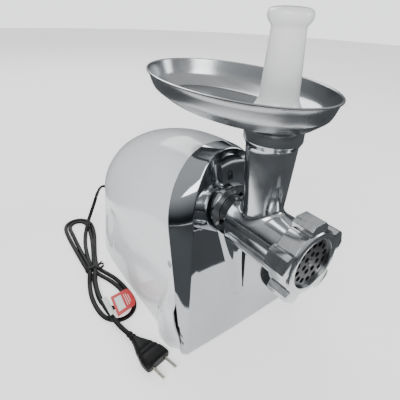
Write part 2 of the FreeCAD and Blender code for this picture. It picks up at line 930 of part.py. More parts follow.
def hull(circles, front, length, grow, name):
    """A plate with round ends round a vertical row of circles, each of (drop, radius)."""
    top, bottom = circles
    radiusTop, radiusLow = top[1] + grow, bottom[1] + grow
    gap = bottom[0] - top[0]
    lean = math.asin((radiusTop - radiusLow) / gap)
    cosine, sine = math.cos(lean), math.sin(lean)
    right = [
        V(radiusTop * cosine, front, -top[0] - radiusTop * sine),
        V(radiusLow * cosine, front, -bottom[0] - radiusLow * sine),
    ]
    left = [V(-p.x, p.y, p.z) for p in right]
    edges = [
        Part.LineSegment(right[0], right[1]),
        Part.Arc(right[1], V(0, front, -bottom[0] - radiusLow), left[1]),
        Part.LineSegment(left[1], left[0]),
        Part.Arc(left[0], V(0, front, -top[0] + radiusTop), right[0]),
    ]
    wire = Part.Wire([edge.toShape() for edge in edges])
    piece = doc.addObject("Part::Feature", name)
    piece.Shape = Part.Face(wire).extrude(V(0, length, 0))
    return piece


def makeGearbox():
    lay, motor = "-layshaftDrop", "-motorDrop"
    circles = [(0, 45), (sizes["layshaftDrop"] + 6, 42)]
    front = sizes["caseFront"]
    coverAt = sizes["coverStation"]
    legs = [box(8, 30, 70, (side * 30 - 4, 140, "baseLevel + 3.05")) for side in (-1, 1)]
    case = cut(
        fuse([hull(circles, front, coverAt - front, 4, "CaseOutside")] + legs),
        [
            hull(circles, front + 4, 60, 0, "CaseInside"),
            cylinder(14.05, 20, (0, front - 10, 0)),
            cylinder("layPinRadius", 5, (0, front + 0.5, lay)),
        ],
        "Case",
    )
    keep(case, "gearbox_case")
    screwSpots = [(-47.2, 8), (47.2, 8), (-44.3, -55), (44.3, -55)]
    ears = box(114, 6, 16, (-57, "coverStation", "-motorDrop - 8"))
    boltHoles = [cylinder("boltHole", 400, (f"{side} * boltSpread", 40, motor)) for side in (-1, 1)]
    cover = cut(
        fuse([hull(circles, coverAt, 6, 4, "CoverOutside"), ears]),
        boltHoles + [
            cylinder(8.06, 3.4, (0, coverAt - 0.2, 0)),
            cylinder("layPinRadius", 4, (0, coverAt - 2, lay)),
            cylinder(11, 20, (0, coverAt - 2, motor)),
        ],
        "Cover",
    )
    keep(cover, "gearbox_cover")
    keep(ringPiece(14, 12.05, 8, (0, front, 0)), "output_bush")
    screws = []
    for x, z in screwSpots:
        screws.append(cylinder(3, 2.4, (x, coverAt + 6.05, z)))
    keep(fuse(screws, "CoverScrews"), "gearbox_screws")


def makeMotor():
    motor = "-motorDrop"
    start = sizes["statorFront"]
    length = sizes["statorLength"]
    block = rounded(
        box(88, length, 84, (-44, start, -134)), 12,
        lambda edge: abs(edge.tangentAt(edge.FirstParameter).y) > 0.9, "StatorBlock",
    )
    windows = []
    for side in (-1, 1):
        windows.append(box(20, length + 2, 34, (side * 30 - 10, start - 1, -109)))
    ears = box(108, length, 14, (-54, start, "-motorDrop - 7"))
    boltHoles = [cylinder("boltHole", 400, (f"{side} * boltSpread", 40, motor)) for side in (-1, 1)]
    bore = cylinder(24.1, length + 2, (0, start - 1, motor))
    stator = cut(fuse([block, ears]), [bore] + windows + boltHoles, "Stator")
    keep(stator, "motor_stator")

    coils = []
    for level in (24.5, -35.5):
        for end in (start - 10.3, start + length + 0.3):
            coils.append(
                rounded(
                    box(54, 10, 11, (-27, end, -92 + level)), 4,
                    lambda edge: abs(edge.tangentAt(edge.FirstParameter).x) > 0.9, "CoilEnd",
                )
            )
    keep(fuse(coils, "Coils"), "field_coils")

    bars = cut(
        cylinder("armatureRadius", length, (0, start, motor)),
        [cylinder("motorShaft", length + 2, (0, start - 1, motor))],
        "ArmatureCore",
    )
    keep(bars, "armature_core")
    windings = cut(
        fuse(
            [
                cone(13, 20.5, 10, (0, start - 10, motor)),
                cone(20.5, 12, 12, (0, start + length, motor)),
            ]
        ),
        [cylinder("motorShaft", 120, (0, start - 30, motor))],
        "Windings",
    )
    keep(windings, "armature_windings")
    shaft = fuse([cylinder(3.0, 22, (0, 159, motor)), cylinder("motorShaft", 148, (0, 174, motor))])
    keep(shaft, "motor_shaft")
    commutator = cut(
        cylinder(11, 17, (0, start + length + 14, motor)),
        [cylinder("motorShaft", 60, (0, start + length, motor))],
        "Commutator",
    )
    keep(commutator, "commutator")

    hub = cylinder(9, 10, (0, 190, motor))
    disc = cylinder(34, 1.6, (0, 199, motor))
    blades = []
    count = int(sizes["fanBlades"])
    for step in range(count):
        turn = FreeCAD.Rotation(V(0, 1, 0), step * 360 / count)
        offset = turn.multVec(V(7, 0, -0.8))
        blades.append(box(25.5, 9.2, 1.6, (offset.x, 190.6, f"{offset.z} - motorDrop"), turn))
    fan = cut(fuse([hub, disc] + blades), [cylinder("motorShaft", 30, (0, 185, motor))], "Fan")
    keep(fan, "cooling_fan")

    keep(
        fuse(
            [
                ringPiece(10.98, "motorShaft + runningGap", 6, (0, 174.2, motor)),
                ringPiece(10.98, "motorShaft + runningGap", 7, (0, 309, motor)),
            ],
            "Bearings",
        ),
        "motor_bearings",
    )
    bracket = cut(
        fuse(
            [
                cylinder(15, 9, (0, 307.5, motor)),
                box(96, 6, 16, (-48, 309, "-motorDrop - 8")),
                box(10, 46.8, 16, (-54, 268.2, "-motorDrop - 8")),
                box(10, 46.8, 16, (44, 268.2, "-motorDrop - 8")),
            ]
        ),
        [
            cylinder(11, 7.2, (0, 308.9, motor)),
            cylinder(5, 40, (0, 300, motor)),
            cylinder("boltHole", 60, ("-boltSpread", 262, motor)),
            cylinder("boltHole", 60, ("boltSpread", 262, motor)),
        ],
        "RearBracket",
    )
    keep(bracket, "motor_rear_bracket")
    bolts = []
    for side in (-1, 1):
        bolts.append(cylinder(2.4, 141, (f"{side} * boltSpread", 174.3, motor)))
        bolts.append(hexagon(5, 3.4, (f"{side} * boltSpread", 315.2, motor)))
    keep(fuse(bolts, "Bolts"), "motor_bolts")
    holders, brushes = [], []
    for side in (-1, 1):
        holderStart = 20 if side > 0 else -44
        holders.append(
            cut(
                box(24, 12, 12, (holderStart, 277, "-motorDrop - 6")),
                [box(60, 7, 7, (holderStart - 10, 279.5, "-motorDrop - 3.5"))],
            )
        )
        brushStart = 11.2 if side > 0 else -31.2
        brushes.append(box(20, 6.8, 6.8, (brushStart, 279.6, "-motorDrop - 3.4")))
    keep(fuse(holders, "Holders"), "brush_holders")
    keep(fuse(brushes, "Brushes"), "carbon_brushes")


def extruded(points, direction, name):
    """A solid drawn as a polygon and pushed along a direction."""
    corners = [V(*point) for point in points]
    solid = doc.addObject("Part::Feature", name)
    solid.Shape = Part.Face(Part.makePolygon(corners + corners[:1])).extrude(V(*direction))
    return solid


def makeSwitch():
    """Rocker for on, off and reverse in the right-hand wall, drawn with X out of the wall."""
    frame = cut(
        fuse([box(18.4, 30, 20, (-18, -15, -10)), box(2.2, 34, 24, (0.15, -17, -12))]),
        [box(20, 28.4, 18, (-13, -14.2, -9))],
        "SwitchFrame",
    )
    x, y, z = switchAt
    spot = (x, f"frontStation + {y}", f"augerHeight - {-z}")
    frame.Placement = FreeCAD.Placement(V(), switchTurn)
    keep(frame, "switch_frame", spot)
    paddle = doc.addObject("Part::Common", "Paddle")
    paddle.Base = cylinder(13.9, 17.4, (-3, 0, -8.7), "Z")
    paddle.Tool = extruded(
        [(-9, -20, -9), (4.4, -20, -9), (1.4, 0, -9), (4.4, 20, -9), (-9, 20, -9)], (0, 0, 18), "PaddleForm"
    )
    paddle.Placement = FreeCAD.Placement(V(), switchTurn)
    keep(paddle, "rocker_switch", spot)


# Cord and plug, drawn in the machine frame
cordRoute = [
    (-42, 208.5, 75),
    (-42, 228, 74),
    (-44, 246, 64),
    (-49, 255, 47),
    (-57, 252, 31),
    (-68, 243, 19),
    (-80, 230, 11),
]
tailRoute = [(-138, 4, 4), (-137.6, -9, 4.2), (-135.8, -23, 5.2), (-132.4, -36, 6.85)]
leadRoute = [
    (-42, 177.5, 75),
    (-41, 163, 81),
    (-28, 148, 104),
    (4, 130, 126),
    (36, 98, 129),
    (56, 68, 115),
    (61.5, 50, 103.5),
]
hankOutline = [
    (-109, 103), (-94, 160), (-77, 205), (-73, 235), (-84, 257), (-104, 262), (-122, 250),
    (-131, 215), (-133, 170), (-130, 111), (-132, 100), (-148, 68), (-151, 30), (-143, 0),
    (-122, -13), (-100, -9), (-95.5, 12), (-95.5, 50),
]
plugAt = (-132.4, -36)
plugTurn = -78.9
plugOutline = [(14, 4.5), (24, 9.2), (36, 14), (46, 17.2), (55, 17.4), (58, 15.5)]


def cordPath(points):
    """Straight runs joined by tangent arcs, each as large as its two runs allow."""
    spots = [V(*point) for point in points]
    edges, radii = [], []
    start = spots[0]
    for before, corner, after in zip(spots, spots[1:], spots[2:]):
        toward, away = corner - before, after - corner
        half = toward.getAngle(away) / 2
        reach = 0.45 * min(toward.Length, away.Length)
        radius = reach / math.tan(half)
        toward.normalize()
        away.normalize()
        inward = (away - toward).normalize()
        middle = corner + inward * (radius / math.cos(half) - radius)
        begin, end = corner - toward * reach, corner + away * reach
        edges.append(Part.LineSegment(start, begin))
        edges.append(Part.Arc(begin, middle, end))
        radii.append(round(radius, 1))
        start = end
    edges.append(Part.LineSegment(start, spots[-1]))
    return Part.Wire([edge.toShape() for edge in edges]), radii


def tube(points, radius, label):
    path, radii = cordPath(points)
    first = V(*points[1]) - V(*points[0])
    section = Part.Wire([Part.makeCircle(radius, V(*points[0]), first)])
    lead = doc.addObject("Part::Feature", label)
    lead.Shape = path.makePipeShell([section], True, False)
    share = lead.Shape.Volume / (math.pi * radius**2 * path.Length)
    print(f"{label}: length {path.Length:.1f}, radii {radii}, volume against section {share:.4f}")
    return keep(lead, label, (0, 0, 0))


def makeRelief():
    """Tapered sleeve with a groove that the rear wall sits in."""
    points = [
        (0, 0), (8.5, 0), (8.5, 5.2), (5.95, 5.2), (5.95, 8.56), (9, 8.56), (9, 10.6), (6.6, 11.4),
        (4.4, 30.5), (0, 30.5),
    ]
    body = newBody("Relief")
    revolve(body, "XY_Plane", points, "ReliefProfile")
    keep(body, "strain_relief", ("exitX", 178, "exitHeight"))


def makeCord():
    radius = sizes["cordWidth"] / 2
    tube(cordRoute, radius, "power_cord")
    tube(tailRoute, radius, "cord_tail")
    tube(leadRoute, 2.6, "inner_leads")
    hank = extruded([(x, y, 0) for x, y in hankOutline], (0, 0, 11), "Hank")
    keep(hank, "cord_hank", (0, 0, 0))
    tie = cut(
        box(30, 5, 12.5, (-134.5, 103.5, 0)),
        [extruded([(x, y, -1) for x, y in hankOutline], (0, 0, 12.05), "TieBore")],
        "Tie",
    )
    keep(tie, "cord_tie", (0, 0, 0))
    tag = extruded(
        [(-127, 30, 11.1), (-133, -8, 11.1), (-101, -2, 11.1), (-96, 32, 11.1)], (0, 0, 0.9), "Tag"
    )
    keep(tag, "cord_tag", (0, 0, 0))
    label = extruded(
        [(-138, 34, 11.1), (-140, 0, 11.1), (-134, -0.5, 11.1), (-131, 34, 11.1)], (0, 0, 1.2), "Label"
    )
    keep(label, "cord_label", (0, 0, 0))


def makePlug():
    """Flat two-pin plug lying on the table, drawn with X along its axis."""
    turn = FreeCAD.Rotation(V(0, 0, 1), plugTurn)
    middle = sizes["plugThickness"] / 2
    side = plugOutline + [(u, -v) for u, v in reversed(plugOutline)]
    grip = rounded(
        extruded([(u, v, -middle) for u, v in side], (0, 0, sizes["plugThickness"]), "Grip"), 2.5,
        lambda edge: abs(edge.tangentAt(edge.FirstParameter).z) < 0.1, "GripRound",
    )
    pins, sockets = [], []
    for sign in (-1, 1):
        offset = f"{sign} * pinSpacing / 2"
        pins.append(cylinder(2, 29, (48, offset, 0), "X"))
        sockets.append(cylinder(2, 30, (48, offset, 0), "X"))
    neck = cone(4.3, 6.0, 18, (0, 0, 0), "X")
    spot = (plugAt[0], plugAt[1], middle)
    body = cut(fuse([grip, neck]), sockets, "Plug")
    for piece, label in ((body, "plug_body"), (fuse(pins, "Pins"), "plug_pins")):
        piece.Placement = FreeCAD.Placement(V(), turn)
        keep(piece, label, spot)


makers = [
    makeRingNut,
    makePlate,
    makeHead,
    makeAuger,
    makeKnife,
    makeTray,
    makePusher,
    makeHousing,
    makePanel,
    makeCollar,
    makeBase,
    makeGears,
    makeGearbox,
    makeMotor,
    makeSwitch,
    makeRelief,
    makeCord,
    makePlug,
]
for make in makers:
    make()
doc.recompute()

failed = [thing.Label for thing in doc.Objects if {"Invalid", "Error"} & set(thing.State)]
failed += [node.Label for node in nodes if node.Shape.isNull() or not node.Shape.isValid()]
if failed:
    raise RuntimeError("failed: " + ", ".join(failed))

os.makedirs("parts", exist_ok=True)
for node in nodes:
    node.Shape.exportStep(f"parts/{node.Label}.step")
print(f"{len(nodes)} nodes written")
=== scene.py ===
import math

import bpy
from mathutils import Matrix, Vector


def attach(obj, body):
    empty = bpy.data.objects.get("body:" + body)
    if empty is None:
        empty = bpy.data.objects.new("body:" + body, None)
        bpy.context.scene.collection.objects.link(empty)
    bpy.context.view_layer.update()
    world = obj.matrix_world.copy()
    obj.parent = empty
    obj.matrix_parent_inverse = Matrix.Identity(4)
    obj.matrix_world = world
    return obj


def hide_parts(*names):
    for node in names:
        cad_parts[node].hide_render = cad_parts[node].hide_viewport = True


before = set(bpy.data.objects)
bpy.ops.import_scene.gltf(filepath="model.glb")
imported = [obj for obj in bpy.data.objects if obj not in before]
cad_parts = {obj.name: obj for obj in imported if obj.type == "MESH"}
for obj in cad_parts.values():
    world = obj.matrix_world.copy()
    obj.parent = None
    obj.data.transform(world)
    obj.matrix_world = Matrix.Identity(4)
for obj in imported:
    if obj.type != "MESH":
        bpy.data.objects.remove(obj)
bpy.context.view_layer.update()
print("frame loaded:", len(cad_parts), "nodes")

# Camera, three quarters from the front left and looking down
cameraSetup = {
    "place": (-0.2582, -0.3308, 0.3953),
    "azimuth": -38.04,
    "elevation": 28.32,
    "roll": 2.61,
    "lens": 32.16,
    "shiftY": -0.04,
}


def addCamera(setup):
    azimuth, elevation = math.radians(setup["azimuth"]), math.radians(setup["elevation"])
    back = Vector((
        math.sin(azimuth) * math.cos(elevation),
        -math.cos(azimuth) * math.cos(elevation),
        math.sin(elevation),
    ))
    data = bpy.data.cameras.new("studioCamera")
    data.lens = setup["lens"]
    data.sensor_width = 36
    data.shift_y = setup["shiftY"]
    camera = bpy.data.objects.new("studioCamera", data)
    bpy.context.scene.collection.objects.link(camera)
    turn = (-back).to_track_quat("-Z", "Y").to_matrix() @ Matrix.Rotation(math.radians(setup["roll"]), 3, "Z")
    camera.matrix_world = Matrix.Translation(setup["place"]) @ turn.to_4x4()
    bpy.context.scene.camera = camera


addCamera(cameraSetup)
print("camera placed")


# Small helpers
def mm(*values):
    # millimetres to metres
    scaled = tuple(value / 1000 for value in values)
    return scaled if len(scaled) > 1 else scaled[0]


def deselectAll():
    if bpy.context.mode != "OBJECT":
        bpy.ops.object.mode_set(mode="OBJECT")
    for thing in list(bpy.context.selected_objects):
        thing.select_set(False)


def activate(piece):
    deselectAll()
    piece.select_set(True)
    bpy.context.view_layer.objects.active = piece


def modify(piece, kind, **settings):
    # adds a modifier and applies it at once
    activate(piece)
    modifier = piece.modifiers.new(kind.lower(), kind)
    for name, value in settings.items():
        setattr(modifier, name, value)
    bpy.ops.object.modifier_apply(modifier=modifier.name)
    return piece


def soften(piece, width, angle=30, segments=3):
    # rounds the edges that turn by more than the angle
    return modify(
        piece, "BEVEL", width=mm(width), segments=segments, limit_method="ANGLE",
        angle_limit=math.radians(angle), use_clamp_overlap=True, harden_normals=False,
    )


def smooth(piece, angle=35):
    activate(piece)
    bpy.ops.object.shade_smooth_by_angle(angle=math.radians(angle))
    return piece


def editAll(piece, *steps):
    # runs edit-mode operators on the whole mesh
    activate(piece)
    bpy.ops.object.mode_set(mode="EDIT")
    bpy.ops.mesh.select_all(action="SELECT")
    for step in steps:
        step()
    bpy.ops.object.mode_set(mode="OBJECT")
    return piece


def tidyMesh(piece):
    return editAll(
        piece,
        lambda: bpy.ops.mesh.remove_doubles(threshold=0.00002),
        lambda: bpy.ops.mesh.normals_make_consistent(inside=False),
    )


def skin(name, rings, capStart=False, capEnd=False):
    # a grid whose rows are laid on the rings, one after another, in millimetres
    deselectAll()
    rows, columns = len(rings), len(rings[0])
    bpy.ops.mesh.primitive_grid_add(x_subdivisions=columns - 1, y_subdivisions=rows - 1, size=1)
    piece = bpy.context.active_object
    piece.name = name
    piece.data.name = name
    for vertex in piece.data.vertices:
        row, column = divmod(vertex.index, columns)
        vertex.co = Vector(rings[row][column]) / 1000
    for wanted, row in ((capStart, 0), (capEnd, rows - 1)):
        if wanted:
            activate(piece)
            bpy.ops.object.mode_set(mode="EDIT")
            bpy.ops.mesh.select_all(action="DESELECT")
            bpy.ops.object.mode_set(mode="OBJECT")
            for vertex in piece.data.vertices[row * columns:(row + 1) * columns]:
                vertex.select = True
            bpy.ops.object.mode_set(mode="EDIT")
            bpy.ops.mesh.select_mode(type="VERT")
            bpy.ops.mesh.edge_face_add()
            bpy.ops.object.mode_set(mode="OBJECT")
    return tidyMesh(piece)


def lathe(name, outline, at, axis="Z", steps=96, closed=False):
    # turns an outline of (radius, station) pairs about Z or Y through a point
    if closed:
        outline = outline + outline[:1]
    rings = []
    for radius, station in outline:
        ring = []
        for step in range(steps + 1):
            angle = 2 * math.pi * step / steps
            across, up = radius * math.cos(angle), radius * math.sin(angle)
            turned = (across, up, station) if axis == "Z" else (across, station, -up)
            ring.append(tuple(a + b for a, b in zip(at, turned)))
        rings.append(ring)
    return skin(name, rings)


def cutWith(piece, *tools):
    for tool in tools:
        modify(piece, "BOOLEAN", operation="DIFFERENCE", object=tool, solver="EXACT")
        bpy.data.objects.remove(tool)
    return piece


def joinWith(piece, *others):
    for other in others:
        modify(piece, "BOOLEAN", operation="UNION", object=other, solver="EXACT")
        bpy.data.objects.remove(other)
    return piece


def group(piece, *others):
    # one object of several separate shapes
    activate(piece)
    for other in others:
        other.select_set(True)
    bpy.ops.object.join()
    return piece


def block(name, low, high):
    deselectAll()
    bpy.ops.mesh.primitive_cube_add(size=1)
    piece = bpy.context.active_object
    piece.name = name
    for vertex in piece.data.vertices:
        vertex.co = Vector([(a if c < 0 else b) / 1000 for a, b, c in zip(low, high, vertex.co)])
    return piece


def rod(name, radius, start, end, steps=48):
    # a plain round bar between two points, in millimetres
    deselectAll()
    a, b = Vector(start) / 1000, Vector(end) / 1000
    bpy.ops.mesh.primitive_cylinder_add(vertices=steps, radius=mm(radius), depth=(b - a).length)
    piece = bpy.context.active_object
    piece.name = name
    turn = (b - a).to_track_quat("Z", "Y").to_matrix().to_4x4()
    piece.data.transform(Matrix.Translation((a + b) / 2) @ turn)
    return piece


def cadCopy(node, name):
    # a copy of a CAD node's mesh, its loose triangles joined and its flat faces made whole
    deselectAll()
    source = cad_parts[node]
    piece = bpy.data.objects.new(name, source.data.copy())
    bpy.context.scene.collection.objects.link(piece)
    piece.data.materials.clear()
    for key in list(piece.keys()):
        del piece[key]
    editAll(
        piece,
        lambda: bpy.ops.mesh.customdata_custom_splitnormals_clear(),
        lambda: bpy.ops.mesh.remove_doubles(threshold=0.00002),
        lambda: bpy.ops.mesh.dissolve_limited(angle_limit=math.radians(1)),
    )
    return piece


def seat(piece, body, material, slot, *nodes):
    # gives a finished piece its body, finish and the CAD nodes that it stands for
    piece.data.materials.clear()
    piece.data.materials.append(material)
    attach(piece, body)
    if nodes:
        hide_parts(*nodes)
    return piece


# Materials
def linearColour(code):
    # sRGB hex to linear red, green, blue and alpha
    parts = [int(code[i:i + 2], 16) / 255 for i in (1, 3, 5)]
    return tuple(part / 12.92 if part < 0.04045 else ((part + 0.055) / 1.055) ** 2.4 for part in parts) + (1,)


def addNode(tree, kind, settings=None, links=None):
    node = tree.nodes.new(kind)
    for name, value in (settings or {}).items():
        if isinstance(name, int) or name in node.inputs:
            node.inputs[name].default_value = value
        else:
            setattr(node, name, value)
    for name, source in (links or {}).items():
        tree.links.new(source, node.inputs[name])
    return node


def ramp(tree, source, stops):
    # colours along a value: pairs of place and hex
    node = addNode(tree, "ShaderNodeValToRGB", links={"Fac": source})
    while len(node.color_ramp.elements) < len(stops):
        node.color_ramp.elements.new(0.5)
    for element, (place, code) in zip(node.color_ramp.elements, stops):
        element.position = place
        element.color = linearColour(code)
    return node.outputs["Color"]


def finish(name, look):
    # colours and roughness vary over patches; grain is the bump's spacing. Both are in millimetres, and deep,
    # the bump's height, is in micrometres.
    material = bpy.data.materials.new(name)
    material.use_nodes = True
    tree = material.node_tree
    shader = tree.nodes["Principled BSDF"]
    for socket, value in look.get("sockets", {}).items():
        shader.inputs[socket].default_value = value
    where = addNode(tree, "ShaderNodeTexCoord").outputs["Object"]
    along = addNode(
        tree, "ShaderNodeMapping", {"Scale": look.get("stretch", (1, 1, 1))}, {"Vector": where}
    ).outputs["Vector"]
    patch = addNode(
        tree, "ShaderNodeTexNoise", {"Scale": 1000 / look["patch"], "Detail": 3, "Roughness": 0.55},
        {"Vector": along},
    ).outputs["Fac"]
    low, high = look["colours"]
    tree.links.new(ramp(tree, patch, [(0.3, low), (0.7, high)]), shader.inputs["Base Color"])
    rough = addNode(
        tree, "ShaderNodeMapRange",
        {"From Min": 0.3, "From Max": 0.7, "To Min": look["rough"][0], "To Max": look["rough"][1]},
        {"Value": patch},
    )
    tree.links.new(rough.outputs["Result"], shader.inputs["Roughness"])
    grain = addNode(
        tree, "ShaderNodeTexNoise", {"Scale": 1000 / look["grain"], "Detail": 2, "Roughness": 0.5},
        {"Vector": along},
    ).outputs["Fac"]
    bump = addNode(
        tree, "ShaderNodeBump", {"Strength": look["bump"], "Distance": look["deep"] / 1e6},
        {"Height": grain},
    )
    tree.links.new(bump.outputs["Normal"], shader.inputs["Normal"])
    return material


metal = {"Metallic": 1.0}
looks = {
    # high gloss moulded ABS: slightly cool white, very faint flow waves about 25 mm long
    "whiteGlossAbs": {
        "colours": ("#e3e6e9", "#eceef0"), "patch": 90, "rough": (0.13, 0.2), "grain": 24, "deep": 120,
        "bump": 0.12, "sockets": {"IOR": 1.53, "Coat Weight": 0.25, "Coat Roughness": 0.05},
    },
    # moulded white polypropylene of the pusher: a softer gloss than the case
    "whitePolypropylene": {
        "colours": ("#f3f4f5", "#fafafa"), "patch": 60, "rough": (0.1, 0.16), "grain": 14, "deep": 60,
        "bump": 0.12, "sockets": {"IOR": 1.49, "Coat Weight": 0.2, "Coat Roughness": 0.05},
    },
    # vacuum-metallised ABS: mirror bright with the long soft waves of the moulding under it
    "chromedAbs": {
        "colours": ("#a6a9ac", "#b4b7ba"), "patch": 120, "rough": (0.035, 0.07), "grain": 60, "deep": 900,
        "bump": 0.05, "sockets": metal,
    },
    # polished aluminium casting: bright, with shallow waves left by the polishing wheel
    "polishedCastAluminium": {
        "colours": ("#b6b8ba", "#cfd1d3"), "patch": 26, "rough": (0.1, 0.2), "grain": 9, "deep": 260,
        "bump": 0.12, "sockets": metal,
    },
    # turned aluminium of the ring nut: satin, with fine turning marks drawn 0.8 mm apart so that they show
    "turnedAluminium": {
        "colours": ("#bbbdbf", "#cfd1d3"), "patch": 18, "rough": (0.13, 0.22), "grain": 0.8, "deep": 8,
        "bump": 0.1, "stretch": (1, 3, 1), "sockets": metal,
    },
    # ground carbon steel plate: dark grey, even, with an oily sheen
    "groundPlateSteel": {
        "colours": ("#4b4d4f", "#66686a"), "patch": 12, "rough": (0.26, 0.42), "grain": 0.7, "deep": 25,
        "bump": 0.3, "sockets": metal,
    },
    # pressed stainless tray: polished lengthways, streaks drawn a few millimetres wide
    "polishedStainless": {
        "colours": ("#a4a6a8", "#babcbe"), "patch": 40, "rough": (0.2, 0.3), "grain": 2, "deep": 16,
        "bump": 0.3, "stretch": (1, 0.08, 1), "sockets": metal,
    },
    # matt black moulded plastic, fine spark-eroded grain about 0.6 mm
    "blackPolyamide": {
        "colours": ("#17181a", "#222325"), "patch": 20, "rough": (0.42, 0.55), "grain": 0.6, "deep": 40,
        "bump": 0.3, "sockets": {"IOR": 1.53},
    },
    # moulded grey ABS of the underside
    "greyAbs": {
        "colours": ("#6d7072", "#7b7e80"), "patch": 50, "rough": (0.45, 0.6), "grain": 0.8, "deep": 60,
        "bump": 0.35, "sockets": {"IOR": 1.53},
    },
    # moulded dark grey collar
    "darkGreyAbs": {
        "colours": ("#3c3e41", "#4a4c4f"), "patch": 18, "rough": (0.28, 0.4), "grain": 0.7, "deep": 30,
        "bump": 0.3, "sockets": {"IOR": 1.53},
    },
    # zinc plated screws: pale, faintly mottled
    "zincPlatedSteel": {
        "colours": ("#9da0a3", "#b7babc"), "patch": 2, "rough": (0.25, 0.4), "grain": 0.6, "deep": 15,
        "bump": 0.3, "sockets": metal,
    },
    # black rubber feet, matt
    "nitrileRubber": {
        "colours": ("#1a1a1a", "#262626"), "patch": 8, "rough": (0.7, 0.85), "grain": 0.9, "deep": 60,
        "bump": 0.5, "sockets": {"IOR": 1.5},
    },
    # flexible PVC of the flex and plug: black, slightly waxy
    "blackPvc": {
        "colours": ("#060607", "#0d0e0f"), "patch": 30, "rough": (0.38, 0.5), "grain": 1.2, "deep": 25,
        "bump": 0.25, "sockets": {"IOR": 1.54, "Specular IOR Level": 0.2},
    },
    # die-cast gearbox: dull silver with a cast skin
    "dieCastAlloy": {
        "colours": ("#8c8f92", "#a3a6a9"), "patch": 10, "rough": (0.42, 0.58), "grain": 1.5, "deep": 80,
        "bump": 0.4, "sockets": metal,
    },
    # machined steel of shafts, gears and bearings
    "machinedSteel": {
        "colours": ("#8f9295", "#a9acaf"), "patch": 6, "rough": (0.2, 0.34), "grain": 0.6, "deep": 15,
        "bump": 0.3, "sockets": metal,
    },
    # natural nylon gear, milky
    "naturalNylon": {
        "colours": ("#ddd8c6", "#e8e3d2"), "patch": 16, "rough": (0.38, 0.5), "grain": 1, "deep": 25,
        "bump": 0.3, "sockets": {"IOR": 1.53, "Subsurface Weight": 0.15, "Subsurface Scale": 0.003},
    },
    # stacked motor laminations: lines drawn 1 mm apart along the shaft
    "laminatedSteel": {
        "colours": ("#5a5d60", "#74777a"), "patch": 4, "rough": (0.35, 0.5), "grain": 1, "deep": 120,
        "bump": 0.6, "stretch": (0.05, 1, 0.05), "sockets": metal,
    },
    # enamelled copper wire: turns drawn 0.8 mm apart
    "enamelledCopper": {
        "colours": ("#a85a2c", "#c8763f"), "patch": 3, "rough": (0.22, 0.35), "grain": 0.8, "deep": 200,
        "bump": 0.7, "stretch": (0.1, 1, 1), "sockets": metal,
    },
    # sintered bronze bush and brass brush holders
    "sinteredBronze": {
        "colours": ("#93703b", "#ab864a"), "patch": 5, "rough": (0.32, 0.48), "grain": 0.7, "deep": 30,
        "bump": 0.4, "sockets": metal,
    },
    # pressed graphite brushes
    "pressedGraphite": {
        "colours": ("#1c1d1f", "#2a2b2d"), "patch": 3, "rough": (0.5, 0.65), "grain": 0.5, "deep": 40,
        "bump": 0.4, "sockets": {"IOR": 1.6},
    },
    # nickel plated brass pins
    "nickelPlatedBrass": {
        "colours": ("#b5b2a8", "#cbc8be"), "patch": 4, "rough": (0.15, 0.28), "grain": 0.8, "deep": 10,
        "bump": 0.3, "sockets": metal,
    },
    # printed card of the tag: even red, soft sheen
    "redCoatedCard": {
        "colours": ("#b3161b", "#c21d22"), "patch": 14, "rough": (0.3, 0.42), "grain": 1.5, "deep": 25,
        "bump": 0.25, "sockets": {"IOR": 1.5},
    },
    # white paper of the sticker and the wrap
    "whitePaper": {
        "colours": ("#dedfe0", "#ebebec"), "patch": 10, "rough": (0.45, 0.6), "grain": 0.9, "deep": 30,
        "bump": 0.3, "sockets": {"IOR": 1.5},
    },
    # pale pink ink on the tag
    "paleInk": {
        "colours": ("#e2a7a4", "#edbdb8"), "patch": 6, "rough": (0.4, 0.5), "grain": 1, "deep": 10,
        "bump": 0.2, "sockets": {"IOR": 1.5},
    },
    # black pad-printed ink
    "blackInk": {
        "colours": ("#0b0b0c", "#151516"), "patch": 5, "rough": (0.3, 0.4), "grain": 0.7, "deep": 8,
        "bump": 0.2, "sockets": {"IOR": 1.5},
    },
}
materials = {name: finish(name, look) for name, look in looks.items()}

# finish of every CAD node that keeps its own mesh
nodeFinish = {
    "greyAbs": ["base_plate"],
    "zincPlatedSteel": ["base_screws", "collar_screws", "side_screws", "gearbox_screws", "motor_bolts"],
    "nitrileRubber": ["rubber_feet"],
    "darkGreyAbs": ["inlet_collar"],
    "dieCastAlloy": ["gearbox_case", "gearbox_cover"],
    "sinteredBronze": ["output_bush", "brush_holders"],
    "machinedSteel": [
        "output_gear", "layshaft_pin", "motor_shaft", "motor_pinion", "motor_bearings", "auger_drive_shaft",
    ],
    "naturalNylon": ["cluster_gear", "auger_washer"],
    "laminatedSteel": ["armature_core", "motor_stator"],
    "enamelledCopper": ["armature_windings", "field_coils", "commutator"],
    "blackPolyamide": ["cooling_fan", "motor_rear_bracket", "switch_frame", "rocker_switch"],
    "pressedGraphite": ["carbon_brushes"],
    "blackPvc": ["inner_leads"],
    "nickelPlatedBrass": ["plug_pins"],
    "polishedCastAluminium": ["auger"],
    "groundPlateSteel": ["cutting_plate", "cross_knife"],
}
for name, members in nodeFinish.items():
    for member in members:
        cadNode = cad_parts[member]
        cadNode.data.materials.clear()
        cadNode.data.materials.append(materials[name])
print("materials ready:", len(materials))

